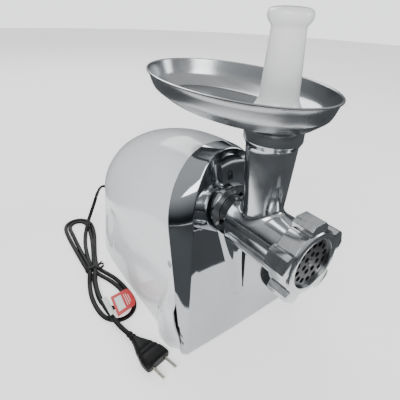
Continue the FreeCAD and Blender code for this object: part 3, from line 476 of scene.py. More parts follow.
# Flat two-core flex: down from the sleeve, through the tie, two loops each way, then to the plug
flex = {
    "width": 6.6,
    "thickness": 4.1,
    "exit": (-42, 208.5, 75),
    "drop": [
        (-42, 208.5, 75), (-42, 228, 74), (-44, 246, 64), (-49, 255, 47), (-57, 252, 31), (-68, 243, 19),
    ],
    "exitStrand": [
        (-79, 231, 11.5), (-88, 217, 8), (-97, 203, 3.5), (-106, 182, 2.2), (-112, 163, 2.2),
        (-118, 138, 2.2), (-121.5, 118, 2.2), (-121.5, 104, 2.2),
    ],
    "lowerInner": [
        (-117.5, 88, 2.2), (-110, 70, 2.2), (-105.4, 50, 2.2), (-104.6, 36, 2.2), (-107, 26, 2.2),
        (-113.2, 18.6, 2.2), (-121.6, 15.8, 2.2), (-130.2, 18.4, 2.2), (-136.4, 25.6, 2.2), (-138.6, 36, 2.2),
        (-137.4, 51, 2.2), (-133.4, 69, 2.2), (-129, 86, 2.2),
    ],
    "upperOuter": [
        (-129.2, 101, 2.2), (-129.5, 112, 2.2), (-129, 135, 2.2), (-127.5, 168, 2.2), (-126, 198, 2.2),
        (-124.5, 215, 2.2), (-122.8, 231, 2.2), (-118.4, 244, 2.2), (-109.6, 252.8, 2.2), (-98.5, 255.6, 2.2),
        (-87.2, 252, 2.2), (-79.4, 243, 2.2), (-76.8, 230.5, 2.2), (-78.4, 215, 2.2), (-85, 191, 2.2),
        (-97, 161, 2.2), (-108, 133, 2.2), (-113.5, 113, 2.2),
    ],
    "lowerOuter": [
        (-113.5, 102, 2.2), (-109, 88, 4), (-101.5, 68, 3), (-98.5, 48, 2.2), (-97.8, 30, 2.2),
        (-98.8, 14, 2.2), (-104.4, 1.4, 2.2), (-114.6, -6.6, 2.2), (-127.4, -8, 2.2), (-138.8, -2, 2.2),
        (-146, 10, 2.2), (-148, 27, 2.2), (-147, 45, 2.2), (-144, 62, 2.2), (-138, 81, 3), (-131, 97, 6.4),
    ],
    "upperInner": [
        (-126, 108, 6.4), (-124, 124, 4), (-122, 152, 2.2), (-119.6, 182, 2.2), (-117.2, 206, 2.2),
        (-115.8, 221, 2.2), (-115, 231.5, 2.2), (-112.2, 239.6, 2.2), (-106.6, 245.6, 2.2),
        (-99.4, 247.8, 2.2), (-92, 245.6, 2.2), (-86.4, 239.6, 2.2), (-84, 231, 2.2), (-84.6, 219, 2.2),
        (-88.4, 201, 2.2), (-96, 174, 2.2), (-107, 143, 3), (-116, 118, 6.4),
    ],
    "tail": [
        (-119.5, 104, 6.6), (-125, 90, 6.6), (-132, 72, 6.6), (-136.4, 53, 6.6), (-138.6, 35, 6.6),
        (-139, 18, 6.6), (-138.4, 4, 6.6), (-137.4, -9, 6.6), (-135.8, -23, 6.4), (-132.4, -37, 6.85),
    ],
}


def flexPoints(shape):
    runs = ("drop", "exitStrand", "lowerInner", "upperOuter", "lowerOuter", "upperInner", "tail")
    return [point for run in runs for point in shape[run]]


def splineCurve(name, points):
    curve = bpy.data.curves.new(name, "CURVE")
    curve.dimensions = "3D"
    curve.resolution_u = 8
    spline = curve.splines.new("NURBS")
    spline.points.add(len(points) - 1)
    for target, point in zip(spline.points, points):
        target.co = (*mm(*point), 1)
    spline.order_u = 3
    spline.use_endpoint_u = True
    thing = bpy.data.objects.new(name, curve)
    bpy.context.scene.collection.objects.link(thing)
    return thing


def lineOf(curveObject):
    # the points of a curve's own line
    mesh = bpy.data.meshes.new_from_object(curveObject)
    line = [vertex.co.copy() for vertex in mesh.vertices]
    bpy.data.meshes.remove(mesh)
    return line


def flexSection(width, thickness):
    # two round cores side by side, with a shallow groove between them: across, up
    core = thickness / 2
    offset = width / 2 - core
    right = [
        (offset + core * math.cos(math.radians(angle)), core * math.sin(math.radians(angle)))
        for angle in range(-110, 111, 20)
    ]
    return right + [(-x, y) for x, y in reversed(right)]


def makeFlex(shape):
    guide = splineCurve("flexGuide", flexPoints(shape))
    line = lineOf(guide)
    bpy.data.objects.remove(guide)
    section = flexSection(shape["width"], shape["thickness"])
    rings = []
    for index, point in enumerate(line):
        ahead = line[min(index + 1, len(line) - 1)] - line[max(index - 1, 0)]
        ahead.normalize()
        # the flat side stays down; where the flex falls steeply it keeps facing along the case
        upward = Vector((0, 0, 1)) if abs(ahead.z) < 0.9 else Vector((-0.35, 1, 0)).normalized()
        across = ahead.cross(upward).normalized()
        up = across.cross(ahead).normalized()
        ring = [tuple((point + across * mm(a) + up * mm(b)) * 1000) for a, b in section]
        rings.append(ring + ring[:1])
    piece = skin("flex", rings, capStart=True, capEnd=True)
    smooth(piece, 60)
    seat(piece, "housing_body", materials["blackPvc"], "cord_pvc", "power_cord", "cord_hank", "cord_tail")
    return piece, line


flexPiece, flexLine = makeFlex(flex)

# Housing: arched sections set back along the machine, swept out at the front corners for the feet
housing = {
    "foot": 91.4,
    "shoulder": 80,
    "topRadius": 69,
    "sideRadius": 100,
    "base": 3,
    # station, width against the seam's width, height of the roof
    "roof": [
        (-100, 1, 237), (-16.5, 1, 237), (18.5, 1, 235), (48.5, 0.997, 230.5), (83.5, 0.985, 221),
        (113.5, 0.962, 210), (138.5, 0.925, 197.5), (158.5, 0.87, 185), (172.5, 0.80, 173),
        (181.5, 0.71, 161), (186, 0.61, 149),
    ],
    "seam": (-95.5, 0.3117),
    # the sections lean with the seam at first, and stand upright from this station and share of the rows
    "uprightFrom": -16.5,
    "leanShare": 0.3,
    "rows": 64,
    "crowding": 1.35,
    "rearEdge": 3.5,
    "bulge": {"centre": (87.5, -65.5, 11), "radii": (13, 24, 60), "blend": 2.4},
    "grip": {"centre": (118, 62), "half": (19, 44), "depth": 4.2},
    "fold": {"front": 78, "rear": 104, "width": 9, "depth": 0.9},
    "wall": 3,
    "boss": 6.5,
    "recess": 4.4,
    "recessDepth": 3.2,
    "pilot": 1.9,
    "screws": [(83.1, -55.5, 111), (89.4, -40.5, 29)],
    "reliefHole": {"radius": 6.1, "start": (-42, 160, 75), "end": (-42, 200, 75)},
    "switchHole": {
        "low": (-20, -15.3, -10.3), "high": (12, 15.3, 10.3), "at": (83.6, 45.5, 103), "lean": -4.4,
    },
}


def archPoints(foot, base, shoulder, top, topRadius, sideRadius, counts=(26, 44, 14)):
    # left foot, over the top, to the right foot: a top arc, two side arcs and two straight sides
    reach = sideRadius - topRadius
    joint = math.asin((sideRadius - shoulder) / reach)
    across, up = -reach * math.sin(joint), top - topRadius - reach * math.cos(joint)
    gap = math.hypot(foot - across, base - up)
    heading = math.atan2(base - up, foot - across) + math.acos(sideRadius / gap)
    topCount, sideCount, lowCount = counts
    half = []
    for step in range(topCount):
        angle = joint * step / topCount
        half.append((topRadius * math.sin(angle), top - topRadius + topRadius * math.cos(angle)))
    for step in range(sideCount):
        angle = math.pi / 2 - joint + (heading - math.pi / 2 + joint) * step / sideCount
        half.append((across + sideRadius * math.cos(angle), up + sideRadius * math.sin(angle)))
    x, z = across + sideRadius * math.cos(heading), up + sideRadius * math.sin(heading)
    for step in range(lowCount + 1):
        half.append((x + (foot - x) * step / lowCount, z + (base - z) * step / lowCount))
    return [(-x, z) for x, z in reversed(half[1:])] + half


def along(table, station, column):
    # smooth value of one column of a table between its rows
    for index in range(len(table) - 1):
        if station <= table[index + 1][0]:
            break
    low, high = table[index], table[index + 1]
    before, after = table[max(index - 1, 0)], table[min(index + 2, len(table) - 1)]
    span = high[0] - low[0]
    share = (station - low[0]) / span
    slopeLow = (high[column] - before[column]) / (high[0] - before[0]) * span
    slopeHigh = (after[column] - low[column]) / (after[0] - low[0]) * span
    return (
        (2 * share**3 - 3 * share**2 + 1) * low[column] + (share**3 - 2 * share**2 + share) * slopeLow
        + (3 * share**2 - 2 * share**3) * high[column] + (share**3 - share**2) * slopeHigh
    )


def bulged(x, y, z, bulge):
    # moves a side point out to the rounded front foot
    centre, radii = bulge["centre"], bulge["radii"]
    inside = 1 - ((y - centre[1]) / radii[1]) ** 2 - ((z - centre[2]) / radii[2]) ** 2
    if inside <= 0:
        return x
    out, own, blend = centre[0] + radii[0] * math.sqrt(inside), abs(x), bulge["blend"] * inside
    return math.copysign((own + out + math.sqrt((own - out) ** 2 + blend**2)) / 2, x) if out > own - 6 else x


def pressed(x, y, z, shape):
    # draws a side point in at the oval grip, and below a soft fold that rises to the rear
    if abs(x) < 40:
        return x
    grip, fold = shape["grip"], shape["fold"]
    away = ((y - grip["centre"][0]) / grip["half"][0]) ** 2 + ((z - grip["centre"][1]) / grip["half"][1]) ** 2
    inward = grip["depth"] * (1 - away) ** 2 if away < 1 else 0
    line = fold["front"] + (fold["rear"] - fold["front"]) * (y + 90) / 260
    under = 1 / (1 + math.exp(max(-30, min(30, (z - line) * 4 / fold["width"]))))
    return math.copysign(abs(x) - inward - fold["depth"] * under * min(1, max(0, (y + 40) / 60)), x)


def makeHousing(shape):
    rings = []
    last, upright, early = shape["roof"][-1][0], shape["uprightFrom"], shape["leanShare"]
    offset, slope = shape["seam"]
    for row in range(shape["rows"] + 1):
        # rows draw together towards the rounded rear
        eased = 1 - (1 - row / shape["rows"]) ** shape["crowding"]
        ring = []
        flat = upright + (last - upright) * max(0, (eased - early) / (1 - early))
        scale, top = along(shape["roof"], flat, 1), along(shape["roof"], flat, 2)
        for x, z in archPoints(
            shape["foot"] * scale, shape["base"], shape["shoulder"] * scale, top, shape["topRadius"] * scale,
            shape["sideRadius"] * scale,
        ):
            seam = offset + slope * z
            y = seam + (upright - seam) * eased / early if eased < early else flat
            ring.append((bulged(pressed(x, y, z, shape), y, z, shape["bulge"]), y, z))
        rings.append(ring)
    piece = skin("housingShell", rings, capEnd=True)
    soften(piece, shape["rearEdge"], angle=50, segments=4)
    modify(piece, "SOLIDIFY", thickness=mm(shape["wall"]), offset=-1, use_even_offset=False)
    for side in (-1, 1):
        for x, y, z in shape["screws"]:
            floorAt = side * (x - shape["recessDepth"])
            joinWith(piece, rod("boss", shape["boss"], (floorAt - side * 8, y, z), (side * (x - 1.5), y, z)))
            cutWith(piece, rod("recess", shape["recess"], (floorAt, y, z), (side * (x + 6), y, z)))
            cutWith(piece, rod("pilot", shape["pilot"], (floorAt - side * 12, y, z), (floorAt + side, y, z)))
    hole = shape["reliefHole"]
    cutWith(piece, rod("reliefHole", hole["radius"], hole["start"], hole["end"]))
    slot = shape["switchHole"]
    opening = block("switchHole", slot["low"], slot["high"])
    lean = Matrix.Rotation(math.radians(slot["lean"]), 4, "Y")
    opening.data.transform(Matrix.Translation(mm(*slot["at"])) @ lean)
    cutWith(piece, opening)
    smooth(piece, 32)
    return seat(piece, "housing_body", materials["whiteGlossAbs"], "white_abs", "housing")


makeHousing(housing)
print("housing made")

# Chromed front: a side band from the seam to the crease, then the leaning face
panel = {
    # each plane is y at the table and how far y moves per unit of height
    "seam": {
        "foot": 91.4, "shoulder": 80, "top": 237, "topRadius": 69, "sideRadius": 100,
        "plane": (-96.13, 0.3117),
    },
    "crease": {
        "foot": 87, "shoulder": 60.5, "top": 239, "topRadius": 42, "sideRadius": 136,
        "plane": (-102.21, 0.2213),
    },
    "base": 3,
    "bandRows": 6,
    "bandCrown": 1.0,
    "faceColumns": 30,
    "faceCrown": 1.2,
    "wall": 2.5,
    "creaseRound": 1.6,
    "faceInset": 8,
    "axisZ": 165,
    "bore": 31,
    "rim": [(31, -50), (32.4, -50), (32.4, -66.3), (32.0, -67.0), (31.4, -67.0), (31, -66.4)],
    "chinTop": (0, -49.1, 145),
    "chinLow": (0, -84.1, 57),
    "chinRadii": (34, 12),
}


def panelRing(line, base, inset=0):
    return [
        (x, line["plane"][0] + line["plane"][1] * z, z)
        for x, z in archPoints(
            line["foot"] - inset, base, line["shoulder"] - inset, line["top"] - inset,
            line["topRadius"] - inset, line["sideRadius"] - inset,
        )
    ]


def makeChin(shape):
    # a tapering tongue with a ball end, its axis leaning forward as it falls
    top, low = Vector(shape["chinTop"]), Vector(shape["chinLow"])
    wide, narrow = shape["chinRadii"]
    length = (low - top).length
    outline = [(0.01, 0), (wide, 0)]
    outline += [(wide + (narrow - wide) * step / 12, length * step / 12) for step in range(1, 13)]
    outline += [
        (max(0.01, narrow * math.cos(angle)), length + narrow * math.sin(angle))
        for angle in (math.pi * step / 20 for step in range(1, 11))
    ]
    piece = lathe("chin", outline, (0, 0, 0), steps=72, closed=False)
    turn = (low - top).to_track_quat("Z", "Y").to_matrix().to_4x4()
    piece.data.transform(Matrix.Translation(top / 1000) @ turn)
    return tidyMesh(piece)


def between(a, b, share):
    return tuple(p + (q - p) * share for p, q in zip(a, b))


def makePanel(shape):
    base, width = shape["base"], shape["creaseRound"]
    seam, crease = panelRing(shape["seam"], base), panelRing(shape["crease"], base)
    near, far = panelRing(shape["crease"], base, width), panelRing(shape["crease"], base, shape["faceInset"])
    bandEnd = [between(b, a, width / max(math.dist(a, b), width)) for a, b in zip(seam, crease)]
    rings = []
    for row in range(shape["bandRows"] + 1):
        share = row / shape["bandRows"]
        swell = shape["bandCrown"] * 4 * share * (1 - share)
        ring = []
        for a, b in zip(seam, bandEnd):
            x, y, z = between(a, b, share)
            ring.append((x + swell * x / math.hypot(x, 90), y - swell * 0.3, z))
        rings.append(ring)
    # the crease itself, rounded between the band and the face
    for step in range(1, 4):
        share = step / 4
        rings.append([
            between(between(a, b, share), between(b, c, share), share)
            for a, b, c in zip(bandEnd, crease, near)
        ])
    rings += [near, far]
    band = skin("frontPanel", rings)
    rows = []
    for x, y, z in far[len(far) // 2:]:
        row = []
        for column in range(shape["faceColumns"] + 1):
            share = 2 * column / shape["faceColumns"] - 1
            row.append((x * share, y - shape["faceCrown"] * (1 - share**2) * min(1, x / 40), z))
        rows.append(row)
    group(band, skin("face", rows))
    tidyMesh(band)
    modify(band, "SOLIDIFY", thickness=mm(shape["wall"]), offset=-1, use_even_offset=False)
    joinWith(band, makeChin(shape))
    axisZ = shape["axisZ"]
    cutWith(band, rod("inletBore", shape["bore"], (0, -120, axisZ), (0, -30, axisZ), 96))
    rim = lathe("inletRim", shape["rim"], (0, 0, axisZ), axis="Y", steps=96, closed=True)
    smooth(rim, 35)
    smooth(band, 26)
    group(band, rim)
    return seat(band, "housing_body", materials["chromedAbs"], "chrome_panel", "front_panel")


makePanel(panel)
print("front panel made")

# Cast head: barrel and neck, with the feed tube rising from it through a cast fillet
head = {
    "axisZ": 165,
    "tubeY": -113.1,
    "barrelRadius": 30,
    "bore": 19.8,
    "fillet": 5,
    "tubeFoot": 22.1,
    "wallRows": 16,
    "sink": 0.05,
    "rib": {"sides": (26, 32.4), "low": (-159.5, 151), "high": (-89.5, 156), "edge": 1.8},
    "barrel": [
        (31.1, -182.5), (33.5, -182.5), (34, -182), (34, -164.2), (33.4, -163.4), (30.6, -161.2), (30, -160),
        (30, -87.5), (29.4, -85.2), (27.6, -83.8), (21.6, -83.5), (20.2, -83.0), (19.5, -81.4), (19.5, -56.3),
        (18.8, -55.5), (10.5, -55.5), (10.5, -87.5), (26.5, -87.5), (26.5, -178.5), (31.1, -178.5),
    ],
    "tube": [
        (26.1, 266.0), (26.7, 267.3), (28.4, 270.6), (29.1, 271.8), (29.3, 273), (29.3, 286), (29.0, 286.7),
        (28.4, 287), (24.6, 287), (24.1, 286.5), (24.1, 277), (19.8, 277), (19.8, 200),
    ],
    "columns": 96,
}


def makeHead(shape):
    barrel = lathe("grinderHead", shape["barrel"], (0, 0, shape["axisZ"]), axis="Y", steps=120, closed=True)
    axisZ, tubeY, bore = shape["axisZ"], shape["tubeY"], shape["bore"]
    cutWith(barrel, rod("feedOpening", bore, (0, tubeY, axisZ + 5), (0, tubeY, axisZ + 41), 96))
    smooth(barrel, 32)
    fillet, foot, count = shape["fillet"], shape["tubeFoot"], shape["wallRows"]
    lipRadius, lipZ = shape["tube"][0]
    # each row: radius, rise above the barrel, share of the way to a level height, and that height
    rows = [
        (foot + fillet * (1 - math.sin(angle)), fillet * (1 - math.cos(angle)), 0, lipZ)
        for angle in (math.pi / 2 * step / 8 for step in range(9))
    ]
    rows += [
        (foot + (lipRadius - foot) * step / count, fillet, step / count, lipZ) for step in range(1, count)
    ]
    rows += [(radius, fillet, 1, level) for radius, level in shape["tube"]]
    rings = []
    for radius, rise, share, level in rows:
        ring = []
        for column in range(shape["columns"] + 1):
            angle = 2 * math.pi * column / shape["columns"]
            x, y = radius * math.cos(angle), radius * math.sin(angle)
            across = min(abs(x), shape["barrelRadius"] - 0.5)
            low = axisZ + math.sqrt(shape["barrelRadius"] ** 2 - across**2) - shape["sink"] + rise
            ring.append((x, tubeY + y, low + (level - low) * share))
        rings.append(ring)
    tube = skin("feedTube", rings)
    smooth(tube, 32)
    ribs = []
    for side in (-1, 1):
        near, far = sorted(side * reach for reach in shape["rib"]["sides"])
        rib = block("rib", (near, *shape["rib"]["low"]), (far, *shape["rib"]["high"]))
        soften(rib, shape["rib"]["edge"], segments=3)
        smooth(rib, 40)
        ribs.append(rib)
    group(barrel, tube, *ribs)
    return seat(barrel, "head", materials["polishedCastAluminium"], "cast_aluminium", "grinder_head")


makeHead(head)
print("head made")

# Oval tray pressed from sheet, with a rolled rim
tray = {
    "centre": (0, -48.5),
    "half": (75.8, 124),
    "hole": 22.8,
    # distance in from the rim's half-axes, and height
    "outside": [
        (24.6, 287.4), (23.6, 287.7), (21.4, 289.1), (16, 293.2), (10.4, 297.6), (8.3, 299.6), (7.0, 301.8),
        (5.4, 305.6), (3.6, 311), (2.2, 315.2), (1.4, 316.0), (0.5, 316.1), (0, 316.8), (0.1, 317.8),
        (0.8, 318.4), (1.7, 318.5), (2.5, 318.0), (2.9, 316.8),
    ],
    "inside": [
        (3.5, 315), (4.9, 310.8), (6.7, 305.3), (8.3, 301.3), (9.6, 299.3), (11.6, 297.5), (17.0, 293.6),
        (22.2, 289.8), (24.2, 288.8), (25.2, 288.6),
    ],
    "spigot": [(22.8, 278.4), (23.8, 278.4), (23.8, 287.6), (22.8, 287.6)],
    "columns": 144,
}


def makeTray(shape):
    rings = []
    for inward, z in shape["outside"] + shape["inside"]:
        ring = []
        for column in range(shape["columns"] + 1):
            angle = 2 * math.pi * column / shape["columns"]
            ring.append((
                (shape["half"][0] - inward) * math.cos(angle),
                shape["centre"][1] + (shape["half"][1] - inward) * math.sin(angle), z,
            ))
        rings.append(ring)
    piece = skin("tray", rings, capStart=True, capEnd=True)
    feedY = head["tubeY"]
    cutWith(piece, rod("feedHole", shape["hole"], (0, feedY, 280), (0, feedY, 296), 96))
    smooth(piece, 40)
    spigot = lathe("traySpigot", shape["spigot"], (0, feedY, 0), closed=True)
    smooth(spigot, 30)
    group(piece, spigot)
    return seat(piece, "tray", materials["polishedStainless"], "tray_steel", "tray")


makeTray(tray)
print("tray made")

# Pusher: waisted shaft with a rounded knob and a flange that rests in the tray
pusher = {
    "outline": [
        (0.01, 195), (17.5, 195), (18.8, 196), (19.2, 198), (19.2, 240), (19.2, 288.6), (23.4, 289),
        (24.5, 289.5), (24.6, 291), (24.5, 293), (24.1, 297), (23.4, 301.5), (22.2, 304.8), (20.6, 307.4),
        (19.3, 310), (18.5, 313), (17.4, 333), (16.2, 353), (15.3, 370), (15.3, 372.2), (15.9, 373.6),
        (17.3, 375), (18.7, 377.2), (19.6, 379.6), (19.8, 381.4), (19.4, 383.4), (18.3, 385.2), (16.2, 386.6),
        (12.5, 387.4), (7, 387.8), (0.01, 387.9),
    ],
}


def makePusher(shape):
    piece = lathe("pusher", shape["outline"], (0, head["tubeY"], 0), steps=96)
    smooth(piece, 40)
    return seat(piece, "pusher", materials["whitePolypropylene"], "pusher_plastic", "pusher")


makePusher(pusher)
print("pusher made")

# Ring nut: the machined nut with the edges of its lugs broken
ringNut = {"edge": 1.1}


def makeRingNut(shape):
    piece = cadCopy("ring_nut", "ringNut")
    soften(piece, shape["edge"], angle=28, segments=3)
    smooth(piece, 34)
    return seat(piece, "ring", materials["turnedAluminium"], "ring_aluminium", "ring_nut")


makeRingNut(ringNut)
print("ring nut made")

# Padlock sign over the inlet, printed on the leaning face
padlock = {
    "at": (0, 208), "width": 8, "height": 6.2, "depth": 0.3, "edge": 0.7, "shackle": 2.8, "line": 0.8,
    # how far the face bows out there, and how far the ink stands off it
    "crown": 0.9, "lift": 0.12,
}


def makePadlock(shape):
    half, depth, arc = shape["width"] / 2, shape["depth"], shape["shackle"]
    body = block("padlock", (-half, 0, -shape["height"]), (half, depth, 0))
    soften(body, shape["edge"], segments=3)
    middle = depth / 2
    outline = [(arc, middle, -0.4)]
    outline += [
        (arc * math.cos(angle), middle, 1.6 + arc * math.sin(angle))
        for angle in (math.pi * step / 16 for step in range(17))
    ]
    outline.append((-arc, middle, 0.8))
    rings = []
    for index, point in enumerate(outline):
        ahead = Vector(outline[min(index + 1, len(outline) - 1)]) - Vector(outline[max(index - 1, 0)])
        across = ahead.normalized().cross(Vector((0, 1, 0))) * shape["line"]
        corners = [(1, -middle), (1, middle), (-1, middle), (-1, -middle), (1, -middle)]
        rings.append([tuple(Vector(point) + across * side + Vector((0, up, 0))) for side, up in corners])
    group(body, skin("shackle", rings, capStart=True, capEnd=True))
    x, z = shape["at"]
    offset, slope = panel["crease"]["plane"]
    spot = Vector(mm(x, offset + slope * z - shape["crown"] - shape["lift"] - depth, z))
    body.data.transform(Matrix.Translation(spot) @ Matrix.Rotation(-math.atan(slope), 4, "X"))
    return seat(body, "housing_body", materials["blackInk"], "chrome_panel")


makePadlock(padlock)
print("padlock sign made")

# Sleeve that guards the flex where it leaves the rear wall
relief = {
    "at": (-42, 0, 75),
    "flange": [
        (3.2, 178), (8.3, 178), (8.5, 178.4), (8.5, 183.2), (5.95, 183.2), (5.95, 186.4), (8.6, 186.4),
        (9, 186.9), (9, 188.2), (8.4, 188.7), (6.9, 189.2),
    ],
    "ribs": 6,
    "start": (6.6, 189.8),
    "end": (4.5, 208.0),
    "groove": 0.75,
}


def makeRelief(shape):
    outline = list(shape["flange"])
    (wide, first), (narrow, last) = shape["start"], shape["end"]
    for rib in range(shape["ribs"]):
        for place, drop in ((0.0, 0.0), (0.62, 0.0), (0.7, 1.0), (0.93, 1.0)):
            share = (rib + place) / shape["ribs"]
            radius = wide + (narrow - wide) * share - drop * shape["groove"]
            outline.append((radius, first + (last - first) * share))
    outline += [(narrow, last), (narrow - 0.4, last + 0.4), (3.2, last + 0.4)]
    piece = lathe("strainRelief", outline, shape["at"], axis="Y", steps=64, closed=True)
    smooth(piece, 38)
    return seat(piece, "housing_body", materials["blackPvc"], "cord_pvc", "strain_relief")


reliefPiece = makeRelief(relief)

# Moulded two-pin plug, flat on the table
plug = {
    "at": (-132.4, -36),
    "turn": -78.9,
    "middle": 6.85,
    # along, half width, half thickness
    "form": [
        (0, 4.0, 3.2), (0.6, 4.4, 3.6), (4, 4.5, 3.8), (5, 3.9, 3.2), (6.4, 3.9, 3.2), (7.2, 4.9, 4.1),
        (9.6, 5.1, 4.3), (10.4, 4.3, 3.5), (11.8, 4.4, 3.6), (12.6, 5.6, 4.7), (15, 6.1, 5.0), (19, 7.4, 5.5),
        (24, 9.6, 6.0), (28, 11.3, 6.3), (32, 12.8, 6.5), (33, 12.8, 5.9), (34.6, 13.2, 5.9),
        (35.6, 13.9, 6.6), (38.6, 14.9, 6.7), (39.6, 14.9, 6.0), (41.2, 15.3, 6.0), (42.2, 16.1, 6.75),
        (46, 17.0, 6.8), (51, 17.3, 6.8), (55, 17.3, 6.8), (57, 16.7, 6.4), (57.9, 15.6, 5.4),
    ],
    "steps": 56,
    # round at the sleeve, squarer from this station on
    "squareFrom": 14,
}


def makePlug(shape):
    rings = []
    for station, half, thick in shape["form"]:
        power = 2 + min(1.6, max(0, (station - shape["squareFrom"]) / 14))
        ring = []
        for step in range(shape["steps"] + 1):
            angle = 2 * math.pi * step / shape["steps"]
            across = math.copysign(abs(math.cos(angle)) ** (2 / power), math.cos(angle)) * half
            up = math.copysign(abs(math.sin(angle)) ** (2 / power), math.sin(angle)) * thick
            ring.append((station, across, up))
        rings.append(ring)
    piece = skin("plugGrip", rings, capStart=True, capEnd=True)
    place = Matrix.Translation(mm(*shape["at"], shape["middle"])) @ Matrix.Rotation(
        math.radians(shape["turn"]), 4, "Z"
    )
    piece.data.transform(place)
    smooth(piece, 38)
    return seat(piece, "housing_body", materials["blackPvc"], "plug_pvc", "plug_body")


plugPiece = makePlug(plug)
print("sleeve and plug made")

# Card tag with a sticker, and the white wrap beside it
tag = {
    "corners": ((-127, 30), (-133, -8), (-101, -2), (-96, 32)),
    "level": 11.1,
    "curl": 0.5,
    "round": 0.8,
    "cardThick": 0.4,
    "stickerThick": 0.12,
    "inkThick": 0.08,
    "gap": 0.02,
    "sticker": (0.12, 0.46, 0.16, 0.84),
    "lines": [(0.56, 0.6, 0.22, 0.8), (0.65, 0.69, 0.22, 0.8), (0.74, 0.78, 0.3, 0.72)],
    "wrap": {
        "corners": ((-138, 34), (-140, 0), (-134, -0.5), (-131, 34)), "drop": 0.6, "thick": 0.35, "curl": 1.6,
    },
}


def sheetOn(name, corners, area, level, thickness, curl, rounding=1, columns=28, rows=18):
    # a thin sheet over part of a four-cornered area, its far end rounded from the given share on
    startU, endU, startV, endV = area
    low, lower, high, higher = (Vector(corner) for corner in corners)
    rings = []
    for column in range(columns + 1):
        u = startU + (endU - startU) * column / columns
        over = (u - rounding) / (1 - rounding) if u > rounding else 0
        narrow = math.sqrt(max(0, 1 - over**2))
        ring = []
        for row in range(rows + 1):
            v = 0.5 + (startV + (endV - startV) * row / rows - 0.5) * narrow
            spot = (low * (1 - v) + lower * v) * (1 - u) + (higher * (1 - v) + high * v) * u
            ring.append((spot.x, spot.y, level + curl * math.sin(math.pi * u) * (0.6 + 0.4 * v)))
        rings.append(ring)
    piece = skin(name, rings)
    modify(piece, "SOLIDIFY", thickness=mm(thickness), offset=1)
    smooth(piece, 40)
    return piece


def makeTag(shape):
    whole, corners, level, curl = (0, 1, 0, 1), shape["corners"], shape["level"], shape["curl"]
    above = level + shape["cardThick"] + shape["gap"]
    card = sheetOn("tagCard", corners, whole, level, shape["cardThick"], curl, shape["round"])
    seat(card, "housing_body", materials["redCoatedCard"], "red_tag", "cord_tag")
    sticker = sheetOn("tagSticker", corners, shape["sticker"], above, shape["stickerThick"], curl)
    seat(sticker, "housing_body", materials["whitePaper"], "clear_label")
    strips = [
        sheetOn(f"tagLine{index}", corners, area, above, shape["inkThick"], curl, columns=4)
        for index, area in enumerate(shape["lines"])
    ]
    group(*strips)
    seat(strips[0], "housing_body", materials["paleInk"], "red_tag")
    band = shape["wrap"]
    wrap = sheetOn("cordWrap", band["corners"], whole, level - band["drop"], band["thick"], band["curl"])
    seat(wrap, "housing_body", materials["whitePaper"], "clear_label", "cord_label")
    return [card, sticker, strips[0], wrap]


tagPieces = makeTag(tag)

# Plastic covered wire round the hank, its ends twisted together and left standing out
tie = {
    "low": (-134.2, 0.4),
    "high": (-104.8, 9.6),
    "from": 103.8,
    "to": 108.2,
    "thickness": 0.7,
    "wire": 0.9,
    "ends": [
        [(-112, 106, 9.4), (-109, 107, 10.6), (-107, 109, 10.2), (-104.8, 110.5, 8.2)],
        [(-112, 106, 9.6), (-110.6, 104.6, 11.2), (-108, 103.8, 11.4), (-104.9, 103.8, 9.4)],
    ],
}


def makeTie(shape):
    (left, low), (right, high) = shape["low"], shape["high"]
    centre, half = ((left + right) / 2, (low + high) / 2), ((right - left) / 2, (high - low) / 2)
    rings = []
    for step in range(65):
        angle = 2 * math.pi * step / 64
        across = math.copysign(abs(math.cos(angle)) ** 0.55, math.cos(angle))
        up = math.copysign(abs(math.sin(angle)) ** 0.55, math.sin(angle))
        ring = []
        for y, inward in (("from", 0), ("to", 0), ("to", 1), ("from", 1), ("from", 0)):
            drop = inward * shape["thickness"]
            ring.append((centre[0] + across * (half[0] - drop), shape[y], centre[1] + up * (half[1] - drop)))
        rings.append(ring)
    band = skin("wireTie", rings)
    for index, points in enumerate(shape["ends"]):
        guide = splineCurve(f"tieEnd{index}", points)
        guide.data.bevel_depth = mm(shape["wire"])
        guide.data.use_fill_caps = True
        deselectAll()
        mesh = bpy.data.meshes.new_from_object(guide)
        end = bpy.data.objects.new(f"tieWire{index}", mesh)
        bpy.context.scene.collection.objects.link(end)
        bpy.data.objects.remove(guide)
        group(band, end)
    smooth(band, 40)
    return seat(band, "housing_body", materials["blackPvc"], "tie_wire", "cord_tie")


tiePiece = makeTie(tie)
print("tag, wrap and tie made")

# Floor and soft lights
bpy.ops.mesh.primitive_plane_add(size=8)
floor = bpy.context.active_object
floor.name = "studioFloor"
floorFinish = {
    "colours": ("#f1f1f1", "#f5f5f5"), "patch": 400, "rough": (0.75, 0.85), "grain": 3, "deep": 20,
    "bump": 0.05, "sockets": {"Emission Color": linearColour("#ffffff"), "Emission Strength": 0.78},
}
floor.data.materials.append(finish("paleStudioPaper", floorFinish))

# a dark ring and two patches that only reflections show, and a pale wall that only the camera sees
stageForms = {
    "darkSurround": {"radii": (0.33, 3.9), "levels": (0.002, 0.002), "colour": "#4a4d50"},
    "darkPatch": {
        "radii": (0.005, 0.13), "levels": (0.003, 0.003), "colour": "#202225", "at": (0.215, -0.09),
    },
    "greyPatch": {
        "radii": (0.005, 0.1), "levels": (0.004, 0.004), "colour": "#5a5d60", "at": (-0.1, -0.36),
    },
    "paleBackdrop": {"radii": (3.9, 3.9), "levels": (-0.02, 4.5), "colour": "#f2f3f4", "glow": 1.2},
}


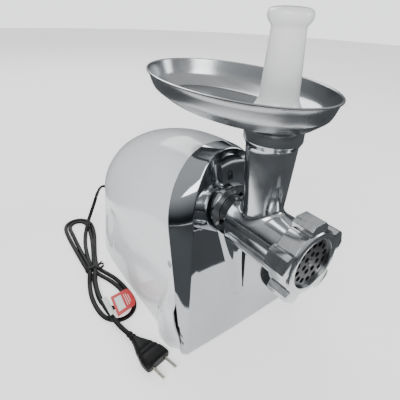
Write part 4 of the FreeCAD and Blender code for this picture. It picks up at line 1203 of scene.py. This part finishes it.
def makeStageForm(name, setup):
    inner, outer = setup["radii"]
    low, high = setup["levels"]
    at = (*(1000 * value for value in setup.get("at", (0, 0))), 0)
    piece = lathe(name, [(inner * 1000, low * 1000), (outer * 1000, high * 1000)], at, steps=96)
    paper = bpy.data.materials.new(name + "Paper")
    paper.use_nodes = True
    shader = paper.node_tree.nodes["Principled BSDF"]
    shader.inputs["Base Color"].default_value = linearColour(setup["colour"])
    shader.inputs["Roughness"].default_value = 0.9
    glows = "glow" in setup
    if glows:
        shader.inputs["Emission Color"].default_value = linearColour(setup["colour"])
        shader.inputs["Emission Strength"].default_value = setup["glow"]
    piece.data.materials.append(paper)
    piece.visible_camera = glows
    piece.visible_glossy = not glows
    piece.visible_diffuse = False
    piece.visible_shadow = False
    piece.visible_transmission = False


for name, setup in stageForms.items():
    makeStageForm(name, setup)

lights = {
    "keyLight": {"place": (-1.3, -0.9, 1.5), "size": 1.1, "power": 25},
    "fillLight": {"place": (1.3, -1.1, 0.9), "size": 0.7, "power": 7},
    "rearLight": {"place": (0.3, 1.6, 1.5), "size": 1.1, "power": 17},
}
for name, setup in lights.items():
    data = bpy.data.lights.new(name, "AREA")
    data.size = setup["size"]
    data.energy = setup["power"]
    lamp = bpy.data.objects.new(name, data)
    bpy.context.scene.collection.objects.link(lamp)
    lamp.location = setup["place"]
    lamp.rotation_euler = (Vector((0, 0, 0.15)) - lamp.location).to_track_quat("-Z", "Y").to_euler()


def makeWorld():
    # pale overhead, dim near the horizon, so that bright metal has something dark to show
    world = bpy.data.worlds.new("studioWorld")
    bpy.context.scene.world = world
    world.use_nodes = True
    tree = world.node_tree
    direction = addNode(tree, "ShaderNodeTexCoord").outputs["Generated"]
    height = addNode(tree, "ShaderNodeSeparateXYZ", links={"Vector": direction}).outputs["Z"]
    share = addNode(
        tree, "ShaderNodeMapRange", {"From Min": -1.0, "From Max": 1.0}, {"Value": height}
    ).outputs["Result"]
    shades = [
        (0.0, "#cfcfcf"), (0.49, "#5d6063"), (0.505, "#232528"), (0.54, "#3a3d40"), (0.6, "#8f9397"),
        (0.7, "#dfe2e4"), (1.0, "#ffffff"),
    ]
    tree.links.new(ramp(tree, share, shades), tree.nodes["Background"].inputs["Color"])
    tree.nodes["Background"].inputs["Strength"].default_value = 0.8


makeWorld()
print("studio ready")
